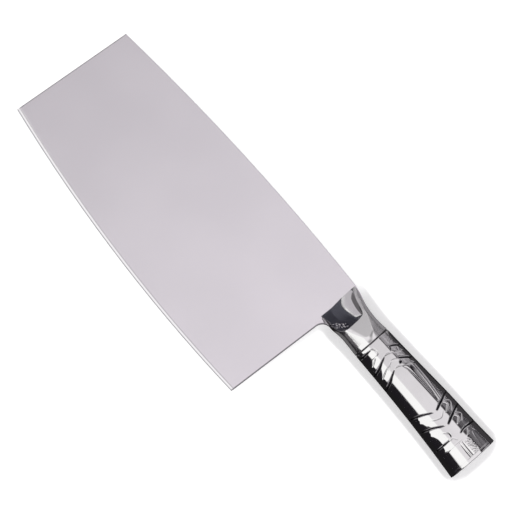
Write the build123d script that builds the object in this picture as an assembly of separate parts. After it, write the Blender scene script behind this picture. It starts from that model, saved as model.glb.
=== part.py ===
from build123d import *
import math
import os

# All-steel chinese cleaver: one plate blade, a solid steel neck and a hollow welded grip.
# Lengths are millimetres. The pieces are made in the knife's own frame: x runs along the grip
# towards the butt with 0 at the joint of neck and grip, y runs towards the spine with 0 on the
# axis of the grip, and z is the thickness with 0 in the middle plane of the blade. At the end
# the knife is laid on its right side, as it rests on a table.

# Blade plate
blade_length = 207.0
heel_overhang = 1.2
heel_drop = 80.0
heel_lean = 4.6
front_drop = 66.0
front_rise = 11.2
front_lean = 8.8
spine_crown = 3.25
edge_crown = 5.4
spine_thickness = 2.2
edge_thickness = 0.95
edge_land = 0.06
bevel_angle = 13.0
spine_chamfer = 0.15
end_chamfer = 0.35
break_angle = 45.0
heel_throat_radius = 6.0
shoulder_rise = 13.5
shoulder_length = 9.0
shoulder_crown = 0.25
spine_margin = 0.5
tang_length = 25.0
tang_width = 15.0

# Neck, from the toe where it runs out on the blade to the joint with the grip
neck_length = 31.0
toe_rise = 14.9
toe_drop = 11.9
toe_depth = 3.6
cheek_rise = 14.2
cheek_drop = 12.1
cheek_depth = 10.0
throat_rise = 12.85
throat_drop = 12.3
throat_depth = 14.4
ridge_rise = 11.9
ridge_drop = 11.5
ridge_depth = 18.2
waist_rise = 11.55
waist_drop = 11.4
waist_depth = 17.8
cheek_station_share = 0.83
throat_station_share = 0.665
ridge_station_share = 0.48
waist_station_share = 0.29
scoop_length = 16.0
scoop_sag = 1.1
facet_height = 7.8
facet_length = 7.6
runout_length = 4.6
runout_sag = 0.25
cheek_inlet = 0.15
spigot_length = 9.0
spigot_clearance = 0.2

# Hollow grip
grip_length = 90.2
collar_rise = 12.3
collar_drop = 11.85
collar_depth = 17.5
palm_rise = 13.5
palm_drop = 12.55
palm_depth = 19.5
belly_rise = 14.85
belly_drop = 13.85
belly_depth = 21.5
swell_rise = 15.45
swell_drop = 15.3
swell_depth = 23.2
butt_rise = 16.3
butt_drop = 16.7
butt_depth = 24.5
palm_station_share = 0.30
belly_station_share = 0.60
swell_station_share = 0.83
shell_wall = 1.2
cap_thickness = 1.6
butt_chamfer = 0.4

# Welds
neck_weld_width = 0.6
neck_groove_depth = 0.35
seam_weld_width = 0.8
butt_weld_width = 0.8
shoulder_weld_width = 0.8
heel_weld_radius = 1.0
heel_weld_length = 6.5

# Leaf ornament on each side of the grip, as distances from the joint and from the axis
relief_height = 0.45
relief_top = 12.3
relief_bottom = 9.4
relief_apex = 1.5
leaf_groove = 0.9
leaf_upper_reach = 4.5
leaf_lower_reach = 5.0
leaf_first = 10.9
leaf_pitch = 9.6
leaf_last = 64.6
relief_start = 3.2
relief_end = 73.0

overrun = 5.0

# Worked out from the sizes above
toe_x = -neck_length
heel_x = toe_x - heel_overhang
front_x = heel_x - blade_length
blade_taper = (spine_thickness - edge_thickness) / (toe_rise + heel_drop)
front_height = front_drop + front_rise
ridge_x = toe_x + scoop_length
facet_end_x = ridge_x + facet_length
tang_end_x = toe_x + tang_length
shoulder_x = toe_x + shoulder_length
spine_end_rise = toe_rise + spine_margin


def half_thickness(y):
    """Half the blade's thickness at the height y, where the two faces are planes."""
    return spine_thickness / 2 - (toe_rise - y) * blade_taper / 2


def chord_middle(start, end, crown):
    """The point that stands out by crown from the middle of a chord, on its left."""
    start = Vector(*start)
    end = Vector(*end)
    along = (end - start).normalized()
    left = Vector(-along.Y, along.X)
    return (start + end) * 0.5 + left * crown


def oval(x, rise, drop, depth):
    """Elliptical section of the neck or grip across its axis at x."""
    plane = Plane(origin=(x, (rise - drop) / 2, 0), x_dir=(0, 1, 0), z_dir=(1, 0, 0))
    return plane * Ellipse((rise + drop) / 2, depth / 2)


def slab(x_start, x_end, y_start, y_end, z_start, z_end):
    """A box between two corners."""
    size = (x_end - x_start, y_end - y_start, z_end - z_start)
    middle = ((x_start + x_end) / 2, (y_start + y_end) / 2, (z_start + z_end) / 2)
    return Pos(*middle) * Box(*size)


# Blade
def arc_circle(start, end, crown):
    """Centre and radius of the arc that stands out by crown to the right of a chord."""
    chord = end - start
    radius = (chord.length**2 / 4 + crown**2) / (2 * crown)
    left = Vector(-chord.Y, chord.X).normalized()
    centre = (start + end) * 0.5 + left * (radius - crown)
    return centre, radius


def throat_points():
    """Where the heel line ends, the middle of the round throat, and where it meets the neck."""
    heel_slope = heel_lean / (heel_drop - throat_drop)
    top_y = -throat_drop
    start_y = top_y - heel_throat_radius
    start = Vector(heel_x + heel_slope * (start_y + heel_drop), start_y)
    end = Vector(start.X + heel_throat_radius, top_y)
    bow = heel_throat_radius * (1 - math.sqrt(0.5))
    middle = Vector(start.X + bow, top_y - bow)
    return start, middle, end


def blade_outline():
    """Side outline of the plate with its stub tang, as one face."""
    tang_half = tang_width / 2
    front_low = Vector(front_x, -front_drop)
    front_high = Vector(front_x + front_lean, front_rise)
    heel = Vector(heel_x, -heel_drop)
    spine_end = Vector(toe_x, spine_end_rise)
    shoulder = Vector(shoulder_x, shoulder_rise)
    throat_start, throat_middle, throat_end = throat_points()
    spine_middle = chord_middle(front_high, spine_end, spine_crown)
    shoulder_middle = chord_middle(spine_end, shoulder, shoulder_crown)
    edge_middle = chord_middle(heel, front_low, edge_crown)
    edges = [
        Line(front_low, front_high),
        ThreePointArc(front_high, spine_middle, spine_end),
        ThreePointArc(spine_end, shoulder_middle, shoulder),
        Polyline(
            shoulder,
            (shoulder_x, tang_half),
            (tang_end_x, tang_half),
            (tang_end_x, -tang_half),
            (throat_end.X, -tang_half),
            throat_end,
        ),
        ThreePointArc(throat_end, throat_middle, throat_start),
        Line(throat_start, heel),
        ThreePointArc(heel, edge_middle, front_low),
    ]
    return make_face(Curve() + edges)


def taper_wedge(x_start, inset):
    """The space between the two flat faces of the blade, drawn in by inset, from x_start back."""
    top = toe_rise + overrun
    bottom = -heel_drop - edge_crown - overrun
    corners = [
        (top, half_thickness(top) - inset),
        (bottom, half_thickness(bottom) - inset),
        (bottom, inset - half_thickness(bottom)),
        (top, inset - half_thickness(top)),
    ]
    section = Plane(origin=(x_start, 0, 0), x_dir=(0, 1, 0), z_dir=(1, 0, 0)) * make_face(
        Polyline(*corners, close=True)
    )
    return extrude(section, tang_end_x + overrun - x_start)


def rim_space(circle, rim_half, slope):
    """Part of a disc, over the whole blade, whose rim narrows by slope to twice rim_half."""
    centre, radius = circle
    reach = spine_thickness / slope
    height = rim_half + spine_thickness
    inner = radius - heel_drop - toe_rise - edge_crown - spine_crown - 2 * overrun
    profile = [
        (radius, rim_half),
        (radius - reach, height),
        (inner, height),
        (inner, -height),
        (radius - reach, -height),
        (radius, -rim_half),
    ]
    # The ends of the disc are radial, so they start well outside the plate's corners.
    ends = (front_x - 4 * overrun, tang_end_x + 4 * overrun)
    start, end = sorted(-math.copysign(math.acos((x - centre.X) / radius), centre.Y) for x in ends)
    side = Vector(math.cos(start), math.sin(start))
    plane = Plane(origin=(centre.X, centre.Y, 0), x_dir=side, z_dir=Vector(side.Y, -side.X))
    section = plane * make_face(Polyline(*profile, close=True))
    spin = Axis((centre.X, centre.Y, 0), (0, 0, 1))
    return revolve(section, spin, math.degrees(end - start))


def bevel_space():
    """What the two bevels leave of the plate, all along the curved edge."""
    circle = arc_circle(Vector(front_x, -front_drop), Vector(heel_x, -heel_drop), edge_crown)
    return rim_space(circle, edge_land / 2, math.tan(math.radians(bevel_angle)))


def spine_space():
    """What the small breaks of the two long edges of the spine leave of the plate."""
    spine_end = Vector(toe_x, spine_end_rise)
    front_high = Vector(front_x + front_lean, front_rise)
    circle = arc_circle(spine_end, front_high, spine_crown)
    rim_half = half_thickness((spine_end_rise + front_rise) / 2) - spine_chamfer
    return rim_space(circle, rim_half, math.tan(math.radians(break_angle)))


def heel_breaks():
    """Two tapering blocks beside the heel and its throat that break their edges on both faces."""
    throat_start, throat_middle, throat_end = throat_points()
    heel = Vector(heel_x, -heel_drop)
    low = heel + (heel - throat_start).normalized() * (edge_crown + overrun)
    far_x = tang_end_x + overrun
    outline = make_face(
        Curve()
        + [
            Line(low, throat_start),
            ThreePointArc(throat_start, throat_middle, throat_end),
            Polyline(throat_end, (far_x, throat_end.Y), (far_x, low.Y), low),
        ]
    )
    # The block starts below the break and aside of the plate, so that its slope cuts cleanly.
    origin = (0, 0, half_thickness(0) - 2 * end_chamfer)
    face_plane = Plane(origin=origin, x_dir=(1, 0, 0), z_dir=(0, -blade_taper / 2, 1))
    block = extrude(face_plane * offset(outline, -end_chamfer), spine_thickness, taper=-break_angle)
    return block, mirror(block, about=Plane.XY)


def make_blade():
    """The plate: outline, flat tapering faces, the two bevels and the broken edges."""
    plate = extrude(blade_outline(), spine_thickness, both=True)
    plate = plate & taper_wedge(front_x - overrun, 0) & bevel_space()
    front_edges = [
        edge
        for edge in plate.edges()
        if edge.position_at(0.5).X < front_x + front_lean and edge.length > front_height / 2
    ]
    plate = chamfer(front_edges, end_chamfer) & spine_space()
    for block in heel_breaks():
        plate = plate - block
    return plate


# Neck
def neck_body():
    """Round neck between the toe and the joint, before the scoops and flats are ground."""
    sections = [
        oval(toe_x, toe_rise, toe_drop, toe_depth),
        oval(-neck_length * cheek_station_share, cheek_rise, cheek_drop, cheek_depth),
        oval(-neck_length * throat_station_share, throat_rise, throat_drop, throat_depth),
        oval(-neck_length * ridge_station_share, ridge_rise, ridge_drop, ridge_depth),
        oval(-neck_length * waist_station_share, waist_rise, waist_drop, waist_depth),
        oval(0, collar_rise, collar_drop, collar_depth),
    ]
    return loft(sections)


def neck_side_profile():
    """The neck seen from its underside: scoop, ridge, flat and run-out, alike on both sides."""
    toe_z = spine_thickness / 2
    top_z = collar_depth + ridge_depth
    runout_x = facet_end_x + runout_length
    runout_z = max(waist_depth, collar_depth) / 2 + runout_sag
    scoop_middle = chord_middle((ridge_x, facet_height), (toe_x, toe_z), scoop_sag)
    runout_middle = chord_middle((runout_x, runout_z), (facet_end_x, facet_height), runout_sag)

    def chain(side):
        def at(point):
            return (point.X, 0, point.Y * side)

        return [
            ThreePointArc((toe_x, 0, toe_z * side), at(scoop_middle), (ridge_x, 0, facet_height * side)),
            Line((ridge_x, 0, facet_height * side), (facet_end_x, 0, facet_height * side)),
            ThreePointArc(
                (facet_end_x, 0, facet_height * side), at(runout_middle), (runout_x, 0, runout_z * side)
            ),
            Polyline((runout_x, 0, runout_z * side), (runout_x, 0, top_z * side), (overrun, 0, top_z * side)),
        ]

    ends = [
        Line((toe_x, 0, toe_z), (toe_x, 0, -toe_z)),
        Line((overrun, 0, top_z), (overrun, 0, -top_z)),
    ]
    return make_face(Curve() + chain(1) + chain(-1) + ends)


def collar_face(x, inset):
    """The oval of the joint, drawn in by inset, at x."""
    return oval(x, collar_rise - inset, collar_drop - inset, collar_depth - 2 * inset)


def spigot(start, end):
    """The round stub that centres the half shells."""
    return extrude(collar_face(start, shell_wall + spigot_clearance), end - start)


def shoulder_space():
    """Where the weld between the blade's shoulder and the neck lies."""
    x_end = shoulder_x + shoulder_weld_width
    return slab(shoulder_x, x_end, tang_width / 2, toe_rise + overrun, -ridge_depth, ridge_depth)


def ground_neck():
    """The round neck with its scoops and flats."""
    reach = toe_rise + toe_drop + overrun
    return neck_body() & extrude(neck_side_profile(), reach, both=True)


def bead_bars():
    """Two short rods in the corners between the neck and the blade, above the heel."""
    x_end = throat_points()[2].X - heel_weld_radius
    x_start = x_end - heel_weld_length
    y = -toe_drop
    bars = []
    for side in (1, -1):
        z = side * half_thickness(y)
        plane = Plane(origin=(x_start, y, z), z_dir=(1, 0, 0))
        bar = extrude(plane * Circle(heel_weld_radius), x_end - x_start)
        for x in (x_start, x_end):
            bar += Pos(x, y, z) * Sphere(heel_weld_radius)
        bars.append(bar)
    return bars


def join_neck(plate):
    """Lets the neck and its beads into the plate's faces by the inlet, and splits off the welds."""
    core = taper_wedge(toe_x - overrun, cheek_inlet)
    ground = ground_neck()
    bars = bead_bars()
    blade = plate - (ground - core)
    for bar in bars:
        blade = blade - (bar - core)
    bolster = ground - shoulder_space() - blade + spigot(0, spigot_length)
    shoulder_weld = (ground & shoulder_space()) - blade
    beads = [bar - core - ground for bar in bars]
    return blade, bolster, shoulder_weld, beads


# Grip
def grip_loft(inset, x_start, x_end):
    """The grip between two stations, drawn in by inset all round."""
    stations = [
        (0, collar_rise, collar_drop, collar_depth),
        (palm_station_share, palm_rise, palm_drop, palm_depth),
        (belly_station_share, belly_rise, belly_drop, belly_depth),
        (swell_station_share, swell_rise, swell_drop, swell_depth),
        (1, butt_rise, butt_drop, butt_depth),
    ]
    sections = [
        oval(grip_length * share, rise - inset, drop - inset, depth - 2 * inset)
        for share, rise, drop, depth in stations
    ]
    reach = butt_rise + butt_drop
    return loft(sections) & slab(x_start, x_end, -reach, reach, -reach, reach)


def leaf_line(apex_x, lean):
    """One bent line across the grip, from top to bottom: lean is 1 for <, -1 for > and 0 straight."""
    return [
        (apex_x + lean * leaf_upper_reach, relief_top),
        (apex_x, relief_apex),
        (apex_x + lean * leaf_lower_reach, -relief_bottom),
    ]


def relief_outlines():
    """The raised fields of one side: end field, leaf, plain panel, leaf, end field."""
    half_groove = leaf_groove / 2
    left_lines = [leaf_first, leaf_first + leaf_pitch]
    right_lines = [leaf_last - leaf_pitch, leaf_last]
    lines = [(relief_start, 0)]
    lines += [(x, 1) for x in left_lines]
    lines += [(x, -1) for x in right_lines]
    lines += [(relief_end, 0)]
    fields = []
    for (start_x, start_lean), (end_x, end_lean) in zip(lines, lines[1:]):
        start = leaf_line(start_x + half_groove, start_lean)
        end = leaf_line(end_x - half_groove, end_lean)
        fields.append(make_face(Polyline(*start, *reversed(end), close=True)))
    return fields


def make_grip():
    """Half shells, seam welds, butt weld and cap, all cut from one flaring tube."""
    shell_end = grip_length - cap_thickness - butt_weld_width
    weld_end = grip_length - cap_thickness
    half_seam = seam_weld_width / 2
    reach = butt_rise + butt_drop
    tube = grip_loft(0, neck_weld_width, shell_end) - grip_loft(shell_wall, neck_weld_width, shell_end)
    skin = grip_loft(-relief_height, neck_weld_width, shell_end) - grip_loft(
        shell_wall / 2, neck_weld_width, shell_end
    )
    shells = []
    for side in (1, -1):
        z_near, z_far = sorted((side * half_seam, side * reach))
        shell = tube & slab(0, grip_length, -reach, reach, z_near, z_far)
        for outline in relief_outlines():
            field = extrude(Pos(0, 0, side * half_seam) * outline, side * reach)
            shell += field & skin
        shells.append(shell)
    seam = tube & slab(0, grip_length, -reach, reach, -half_seam, half_seam)
    seam_spine = seam & slab(0, grip_length, 0, reach, -half_seam, half_seam)
    seam_edge = seam & slab(0, grip_length, -reach, 0, -half_seam, half_seam)
    ring = grip_loft(0, shell_end, weld_end) - grip_loft(shell_wall, shell_end, weld_end)
    cap = grip_loft(0, weld_end, grip_length)
    rim = cap.faces().sort_by(Axis.X)[-1].edges()
    cap = chamfer(rim, butt_chamfer)
    return shells, seam_spine, seam_edge, ring, cap


def make_neck_weld():
    """Ring of weld that stops short of the surface and leaves the fine groove round the joint."""
    ring = extrude(collar_face(0, neck_groove_depth), neck_weld_width)
    return ring - spigot(0, neck_weld_width)


# Assembly
def resting_plane():
    """The table under the knife: it touches the butt rim and both front corners of the blade."""
    butt = Vector(grip_length - butt_chamfer, 0, -butt_depth / 2)
    high = Vector(front_x + front_lean, front_rise, -half_thickness(front_rise))
    low = Vector(front_x, -front_drop, -half_thickness(-front_drop))
    normal = (butt - high).cross(low - high).normalized()
    if normal.Z < 0:
        normal = normal * -1
    along = Vector(1, 0, 0) - normal * normal.X
    return Plane(origin=high, x_dir=along.normalized(), z_dir=normal)


def lay_down(nodes):
    """Lays the knife on its right side and puts the middle of its footprint at the origin."""
    plane = resting_plane()
    laid = {name: [plane.to_local_coords(solid) for solid in solids] for name, solids in nodes.items()}
    box = Compound([solid for solids in laid.values() for solid in solids]).bounding_box()
    centre = box.center()
    shift = Pos(-centre.X, -centre.Y, -box.min.Z)
    return {name: [shift * solid for solid in solids] for name, solids in laid.items()}


def main():
    """Builds every piece and writes one file for each."""
    blade, bolster, shoulder_weld, heel_welds = join_neck(make_blade())
    shells, seam_spine, seam_edge, butt_weld, cap = make_grip()
    nodes = {
        "blade": blade,
        "bolster": bolster,
        "shoulder_weld": shoulder_weld,
        "heel_welds": heel_welds,
        "neck_weld": make_neck_weld(),
        "grip_shell_left": shells[0],
        "grip_shell_right": shells[1],
        "seam_weld_spine": seam_spine,
        "seam_weld_edge": seam_edge,
        "butt_weld": butt_weld,
        "butt_cap": cap,
    }
    pieces = {}
    for name, made in nodes.items():
        made = made if isinstance(made, list) else [made]
        pieces[name] = [solid for shape in made for solid in shape.solids()]
    os.makedirs("parts", exist_ok=True)
    for name, solids in lay_down(pieces).items():
        whole = solids[0] if len(solids) == 1 else Compound(solids)
        export_step(whole, f"parts/{name}.step")
        volume = sum(solid.volume for solid in solids)
        print(name, len(solids), "solid(s)", round(volume, 1), "mm3")


main()
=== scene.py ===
"""Looks of an all-steel chinese cleaver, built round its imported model.

Shapes are worked out in millimetres in the knife's own frame: x runs along the grip towards the
butt with 0 at the joint of neck and grip, y runs towards the spine, z is the thickness. The class
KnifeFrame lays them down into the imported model, in metres.
"""

import cmath
import logging
import math
from dataclasses import dataclass
from enum import Enum

import bmesh
import bpy
import numpy as np
from mathutils import Matrix, Vector


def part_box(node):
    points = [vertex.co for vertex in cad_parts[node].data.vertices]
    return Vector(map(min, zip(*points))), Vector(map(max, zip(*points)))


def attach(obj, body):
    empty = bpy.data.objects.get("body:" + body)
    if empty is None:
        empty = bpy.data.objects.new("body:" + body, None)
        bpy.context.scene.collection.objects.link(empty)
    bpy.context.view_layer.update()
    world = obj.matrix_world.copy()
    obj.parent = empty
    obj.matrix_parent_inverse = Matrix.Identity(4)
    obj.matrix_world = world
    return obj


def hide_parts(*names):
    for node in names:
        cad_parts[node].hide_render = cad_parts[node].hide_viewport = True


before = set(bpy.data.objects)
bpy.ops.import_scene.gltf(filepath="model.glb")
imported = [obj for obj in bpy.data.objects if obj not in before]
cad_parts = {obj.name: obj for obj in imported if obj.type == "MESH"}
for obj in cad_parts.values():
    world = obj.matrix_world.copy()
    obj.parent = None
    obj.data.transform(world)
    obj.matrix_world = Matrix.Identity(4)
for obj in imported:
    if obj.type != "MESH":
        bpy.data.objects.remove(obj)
log = logging.getLogger("cleaver")

MM = 0.001
BODY = "root"
FULL_TURN = 2 * math.pi
EVEN = (1, 1, 1)
WHITE = (1.0, 1.0, 1.0, 1.0)

Array = np.ndarray
Faces = list[tuple[int, ...]]
Material = bpy.types.Material
Socket = bpy.types.NodeSocket
Pair = tuple[float, float]
Triple = tuple[float, float, float]


class Side(Enum):
    """The two sides of the knife, with the sign of their z."""

    LEFT = 1
    RIGHT = -1


class Slot(Enum):
    """Material slot names passed to the maker, which doesn't use them."""

    POLISHED = "polished_steel"
    BEAD = "weld_bead"


@dataclass(frozen=True)
class Curve:
    """A smooth curve through a few points, read as a value at a place."""

    at: tuple[float, ...]
    value: tuple[float, ...]

    def __call__(self, x: Array) -> Array:
        """Reads the natural cubic spline through the points.

        Args:
            x: places, in the unit of at. Outside the points the end slope goes on.

        Returns:
            The values there.
        """
        at = np.array(self.at)
        value = np.array(self.value)
        gap = np.diff(at)
        count = len(at)
        system = np.eye(count)
        pull = np.zeros(count)
        for i in range(1, count - 1):
            system[i, i - 1 : i + 2] = gap[i - 1], 2 * (gap[i - 1] + gap[i]), gap[i]
            pull[i] = 6 * ((value[i + 1] - value[i]) / gap[i] - (value[i] - value[i - 1]) / gap[i - 1])
        bend = np.linalg.solve(system, pull)
        x = np.asarray(x, dtype=float)
        inside = np.clip(x, at[0], at[-1])
        k = np.clip(np.searchsorted(at, inside, side="right") - 1, 0, count - 2)
        h = gap[k]
        left = at[k + 1] - inside
        right = inside - at[k]
        cubic = bend[k] * left**3 / (6 * h) + bend[k + 1] * right**3 / (6 * h)
        line = (value[k] / h - bend[k] * h / 6) * left + (value[k + 1] / h - bend[k + 1] * h / 6) * right
        start_slope = (value[1] - value[0]) / gap[0] - gap[0] * bend[1] / 6
        end_slope = (value[-1] - value[-2]) / gap[-1] + gap[-1] * bend[-2] / 6
        beyond = start_slope * np.minimum(x - at[0], 0) + end_slope * np.maximum(x - at[-1], 0)
        return cubic + line + beyond


def smooth_step(x: Array, start: float, end: float) -> Array:
    """Goes smoothly from 0 at start to 1 at end."""
    t = np.clip((x - start) / (end - start), 0, 1)
    return t * t * (3 - 2 * t)


def soft_min(a: Array, b: Array, blend: float) -> Array:
    """The lower of two surfaces, with a fillet of about the width blend where they cross."""
    h = np.clip(0.5 + 0.5 * (b - a) / blend, 0, 1)
    return b * (1 - h) + a * h - blend * h * (1 - h)


def oval_at(x: Array, at: tuple[float, ...], *sizes: tuple[float, ...]) -> tuple[Array, Array, Array]:
    """Middle, half width and half depth at x of an oval whose rise, drop and depth are given at places."""
    rise, drop, depth = (Curve(at, size)(x) for size in sizes)
    return (rise - drop) / 2, (rise + drop) / 2, depth / 2


def around(count: int) -> Array:
    """Angles of a full turn, which end one step before its start."""
    return np.linspace(0, FULL_TURN, count, endpoint=False)


@dataclass(frozen=True)
class BladeSizes:
    """Sizes of the plate in millimetres, as the solids have them."""

    length: float = 207.0
    heel_x: float = -32.2
    heel_drop: float = 80.0
    heel_lean: float = 4.6
    front_drop: float = 66.0
    front_rise: float = 11.2
    front_lean: float = 8.8
    edge_crown: float = 5.4
    spine_thickness: float = 2.2
    edge_thickness: float = 0.95
    toe_rise: float = 14.9
    throat_drop: float = 12.0
    throat_radius: float = 6.0

    @property
    def front_x(self) -> float:
        """Where the lower front corner is along the knife."""
        return self.heel_x - self.length

    def half_thickness(self, y: Array) -> Array:
        """Half the thickness of the plate at the height y."""
        taper = (self.spine_thickness - self.edge_thickness) / (self.toe_rise + self.heel_drop)
        return self.spine_thickness / 2 - (self.toe_rise - y) * taper / 2

    def heel_ends(self) -> tuple[Pair, Pair]:
        """Finds the heel corner and the place where the round throat begins.

        Returns:
            The two places in x and y.
        """
        rise = self.heel_drop - self.throat_drop
        share = (rise - self.throat_radius) / rise
        high = (self.heel_x + self.heel_lean * share, -self.throat_drop - self.throat_radius)
        return (self.heel_x, -self.heel_drop), high

    def edge_circle(self) -> tuple[Vector, float]:
        """Finds the circle of the cutting edge in the middle plane.

        Returns:
            The centre and the radius.
        """
        start = Vector((self.front_x, -self.front_drop, 0))
        chord = Vector((self.heel_x, -self.heel_drop, 0)) - start
        radius = (chord.length**2 / 4 + self.edge_crown**2) / (2 * self.edge_crown)
        up = Vector((-chord.y, chord.x, 0)).normalized()
        return start + chord * 0.5 + up * (radius - self.edge_crown), radius


@dataclass(frozen=True)
class GripSizes:
    """Sizes of the hollow grip in millimetres, as the solids have them."""

    length: float = 90.2
    shares: tuple[float, ...] = (0, 0.30, 0.60, 0.83, 1)
    rises: tuple[float, ...] = (12.3, 13.5, 14.85, 15.45, 16.3)
    drops: tuple[float, ...] = (11.85, 12.55, 13.85, 15.3, 16.7)
    depths: tuple[float, ...] = (17.5, 19.5, 21.5, 23.2, 24.5)
    wall: float = 1.2
    groove_width: float = 0.6
    groove_depth: float = 0.35
    seam_width: float = 0.8
    ring_width: float = 0.8
    cap_thickness: float = 1.6
    rim_break: float = 0.4
    groove_round: float = 0.3
    groove_round_share: float = 0.75

    @property
    def cap_start(self) -> float:
        """Where the butt cap begins."""
        return self.length - self.cap_thickness

    @property
    def ring_start(self) -> float:
        """Where the half shells end and the ring of weld begins."""
        return self.cap_start - self.ring_width

    def oval(self, s: Array) -> tuple[Array, Array, Array]:
        """Middle, half width and half depth of the oval at the distance s from the joint."""
        at = tuple(share * self.length for share in self.shares)
        return oval_at(s, at, self.rises, self.drops, self.depths)

    def rim_round(self, away: Array | float) -> Array:
        """How far the surface is drawn in at a distance from the groove, for its rounded rims."""
        rest = np.clip(1 - np.asarray(away, dtype=float) / self.groove_round, 0, 1)
        return self.groove_round * (1 - np.sqrt(1 - 0.96 * rest**2)) * self.groove_round_share

    def ring(self, s: Array, angle: Array, inset: Array | float) -> Array:
        """Points of the oval drawn in by inset, with a last axis of 3.

        Args:
            s: distances from the joint.
            angle: angles round the axis, 0 at the spine side.
            inset: how far inside the surface.

        Returns:
            The points in the knife's frame.
        """
        middle, half_width, half_depth = self.oval(s)
        y = middle + (half_width - inset) * np.cos(angle)
        z = (half_depth - inset) * np.sin(angle)
        return np.stack((s + 0 * angle, y, z), axis=-1)


@dataclass(frozen=True)
class KnifeFrame:
    """Lays points of the knife's own frame, in millimetres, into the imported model, in metres."""

    blade: BladeSizes
    grip: GripSizes
    rim_points: int = 721

    def turn(self) -> Matrix:
        """Finds the turn that lays the butt's rim and both front corners of the blade on the table.

        Returns:
            The turn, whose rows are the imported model's axes.
        """
        blade, grip = self.blade, self.grip
        butt = Vector((grip.length - grip.rim_break, 0, -grip.depths[-1] / 2))
        high_y, low_y = blade.front_rise, -blade.front_drop
        high = Vector((blade.front_x + blade.front_lean, high_y, -blade.half_thickness(high_y)))
        low = Vector((blade.front_x, low_y, -blade.half_thickness(low_y)))
        up = (butt - high).cross(low - high).normalized()
        up *= math.copysign(1, up.z)
        along = (Vector((1, 0, 0)) - up * up.x).normalized()
        return Matrix((along, up.cross(along), up))

    def matrix(self) -> Matrix:
        """Finds the whole placing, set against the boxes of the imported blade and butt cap.

        Returns:
            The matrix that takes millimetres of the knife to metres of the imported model.
        """
        turn = self.turn()
        blade, grip = self.blade, self.grip
        tip = turn @ Vector((blade.front_x, -blade.front_drop, 0))
        rings = ((grip.length - grip.rim_break, 0.0), (grip.length, grip.rim_break), (grip.cap_start, 0.0))
        angle = np.linspace(0, FULL_TURN, self.rim_points)
        points = []
        for s, inset in rings:
            points += [turn @ Vector(point) for point in grip.ring(np.full_like(angle, s), angle, inset)]
        cap = np.array(points)
        middle = (cap.min(axis=0) + cap.max(axis=0)) / 2
        low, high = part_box("butt_cap")
        tip_low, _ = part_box("blade")
        y, z = ((low[k] + high[k]) / 2 / MM - middle[k] for k in (1, 2))
        shift = Vector((tip_low[0] / MM - tip.x, y, z))
        return Matrix.Scale(MM, 4) @ Matrix.Translation(shift) @ turn.to_4x4()

    def spot(self, place: Pair = (0.0, 0.0)) -> Pair:
        """Where a place of the knife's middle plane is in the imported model, in x and y."""
        laid = self.matrix() @ Vector((*place, 0))
        return laid.x, laid.y

    def lay(self, points: Array) -> Array:
        """Lays an array of points (..., 3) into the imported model."""
        matrix = np.array(self.matrix())
        return points @ matrix[:3, :3].T + matrix[:3, 3]


# Meshes


def grid_faces(rows: int, columns: int, first: int = 0, closed: bool = False) -> Faces:
    """Quads of a grid of points.

    Args:
        rows: number of rows of points.
        columns: number of points in a row.
        first: index of the first point.
        closed: whether each row goes round and meets its own start.

    Returns:
        The faces as point indices.
    """
    faces = []
    spans = columns if closed else columns - 1
    for i in range(rows - 1):
        here = first + i * columns
        for j in range(spans):
            k = (j + 1) % columns
            faces.append((here + j, here + columns + j, here + columns + k, here + k))
    return faces


def rod_faces(rows: int, columns: int, first: int = 0) -> Faces:
    """Faces of a row of rings of points, closed by one face at each end.

    Args:
        rows: number of rings.
        columns: number of points in a ring.
        first: index of the first point.

    Returns:
        The faces as point indices.
    """
    last = first + (rows - 1) * columns
    ends = [tuple(range(first, first + columns)), tuple(range(last + columns - 1, last - 1, -1))]
    return grid_faces(rows, columns, first, True) + ends


def wall(outer: Array, inner: Array, closed: bool = False) -> tuple[Array, Faces]:
    """Makes a closed wall of two grids of points.

    Args:
        outer: points of the outer side, shape (rows, columns, 3).
        inner: points of the inner side, where one step may span several steps of the outer side.
        closed: whether each row goes round and meets its own start.

    Returns:
        The points, and the faces of the outer side, the inner side and the rims between them.
    """
    fine = np.arange(outer[..., 0].size).reshape(outer.shape[:2])
    thin = np.arange(inner[..., 0].size).reshape(inner.shape[:2]) + fine.size
    step = (len(fine) - 1) // (len(thin) - 1)
    faces = grid_faces(*fine.shape, closed=closed)
    faces += [face[::-1] for face in grid_faces(*thin.shape, fine.size, closed)]
    rims = [(fine[row], thin[row]) for row in (0, -1)]
    if closed:
        rims = [(np.append(a, a[0]), np.append(b, b[0])) for a, b in rims]
    else:
        rims += [(fine[:, column], thin[:, column]) for column in (0, -1)]
    for a, b in rims:
        for j in range(len(b) - 1):
            faces.append((*a[j * step : (j + 1) * step + 1].tolist(), *b[[j + 1, j]].tolist()))
    return np.concatenate((outer.reshape(-1, 3), inner.reshape(-1, 3))), faces


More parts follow.
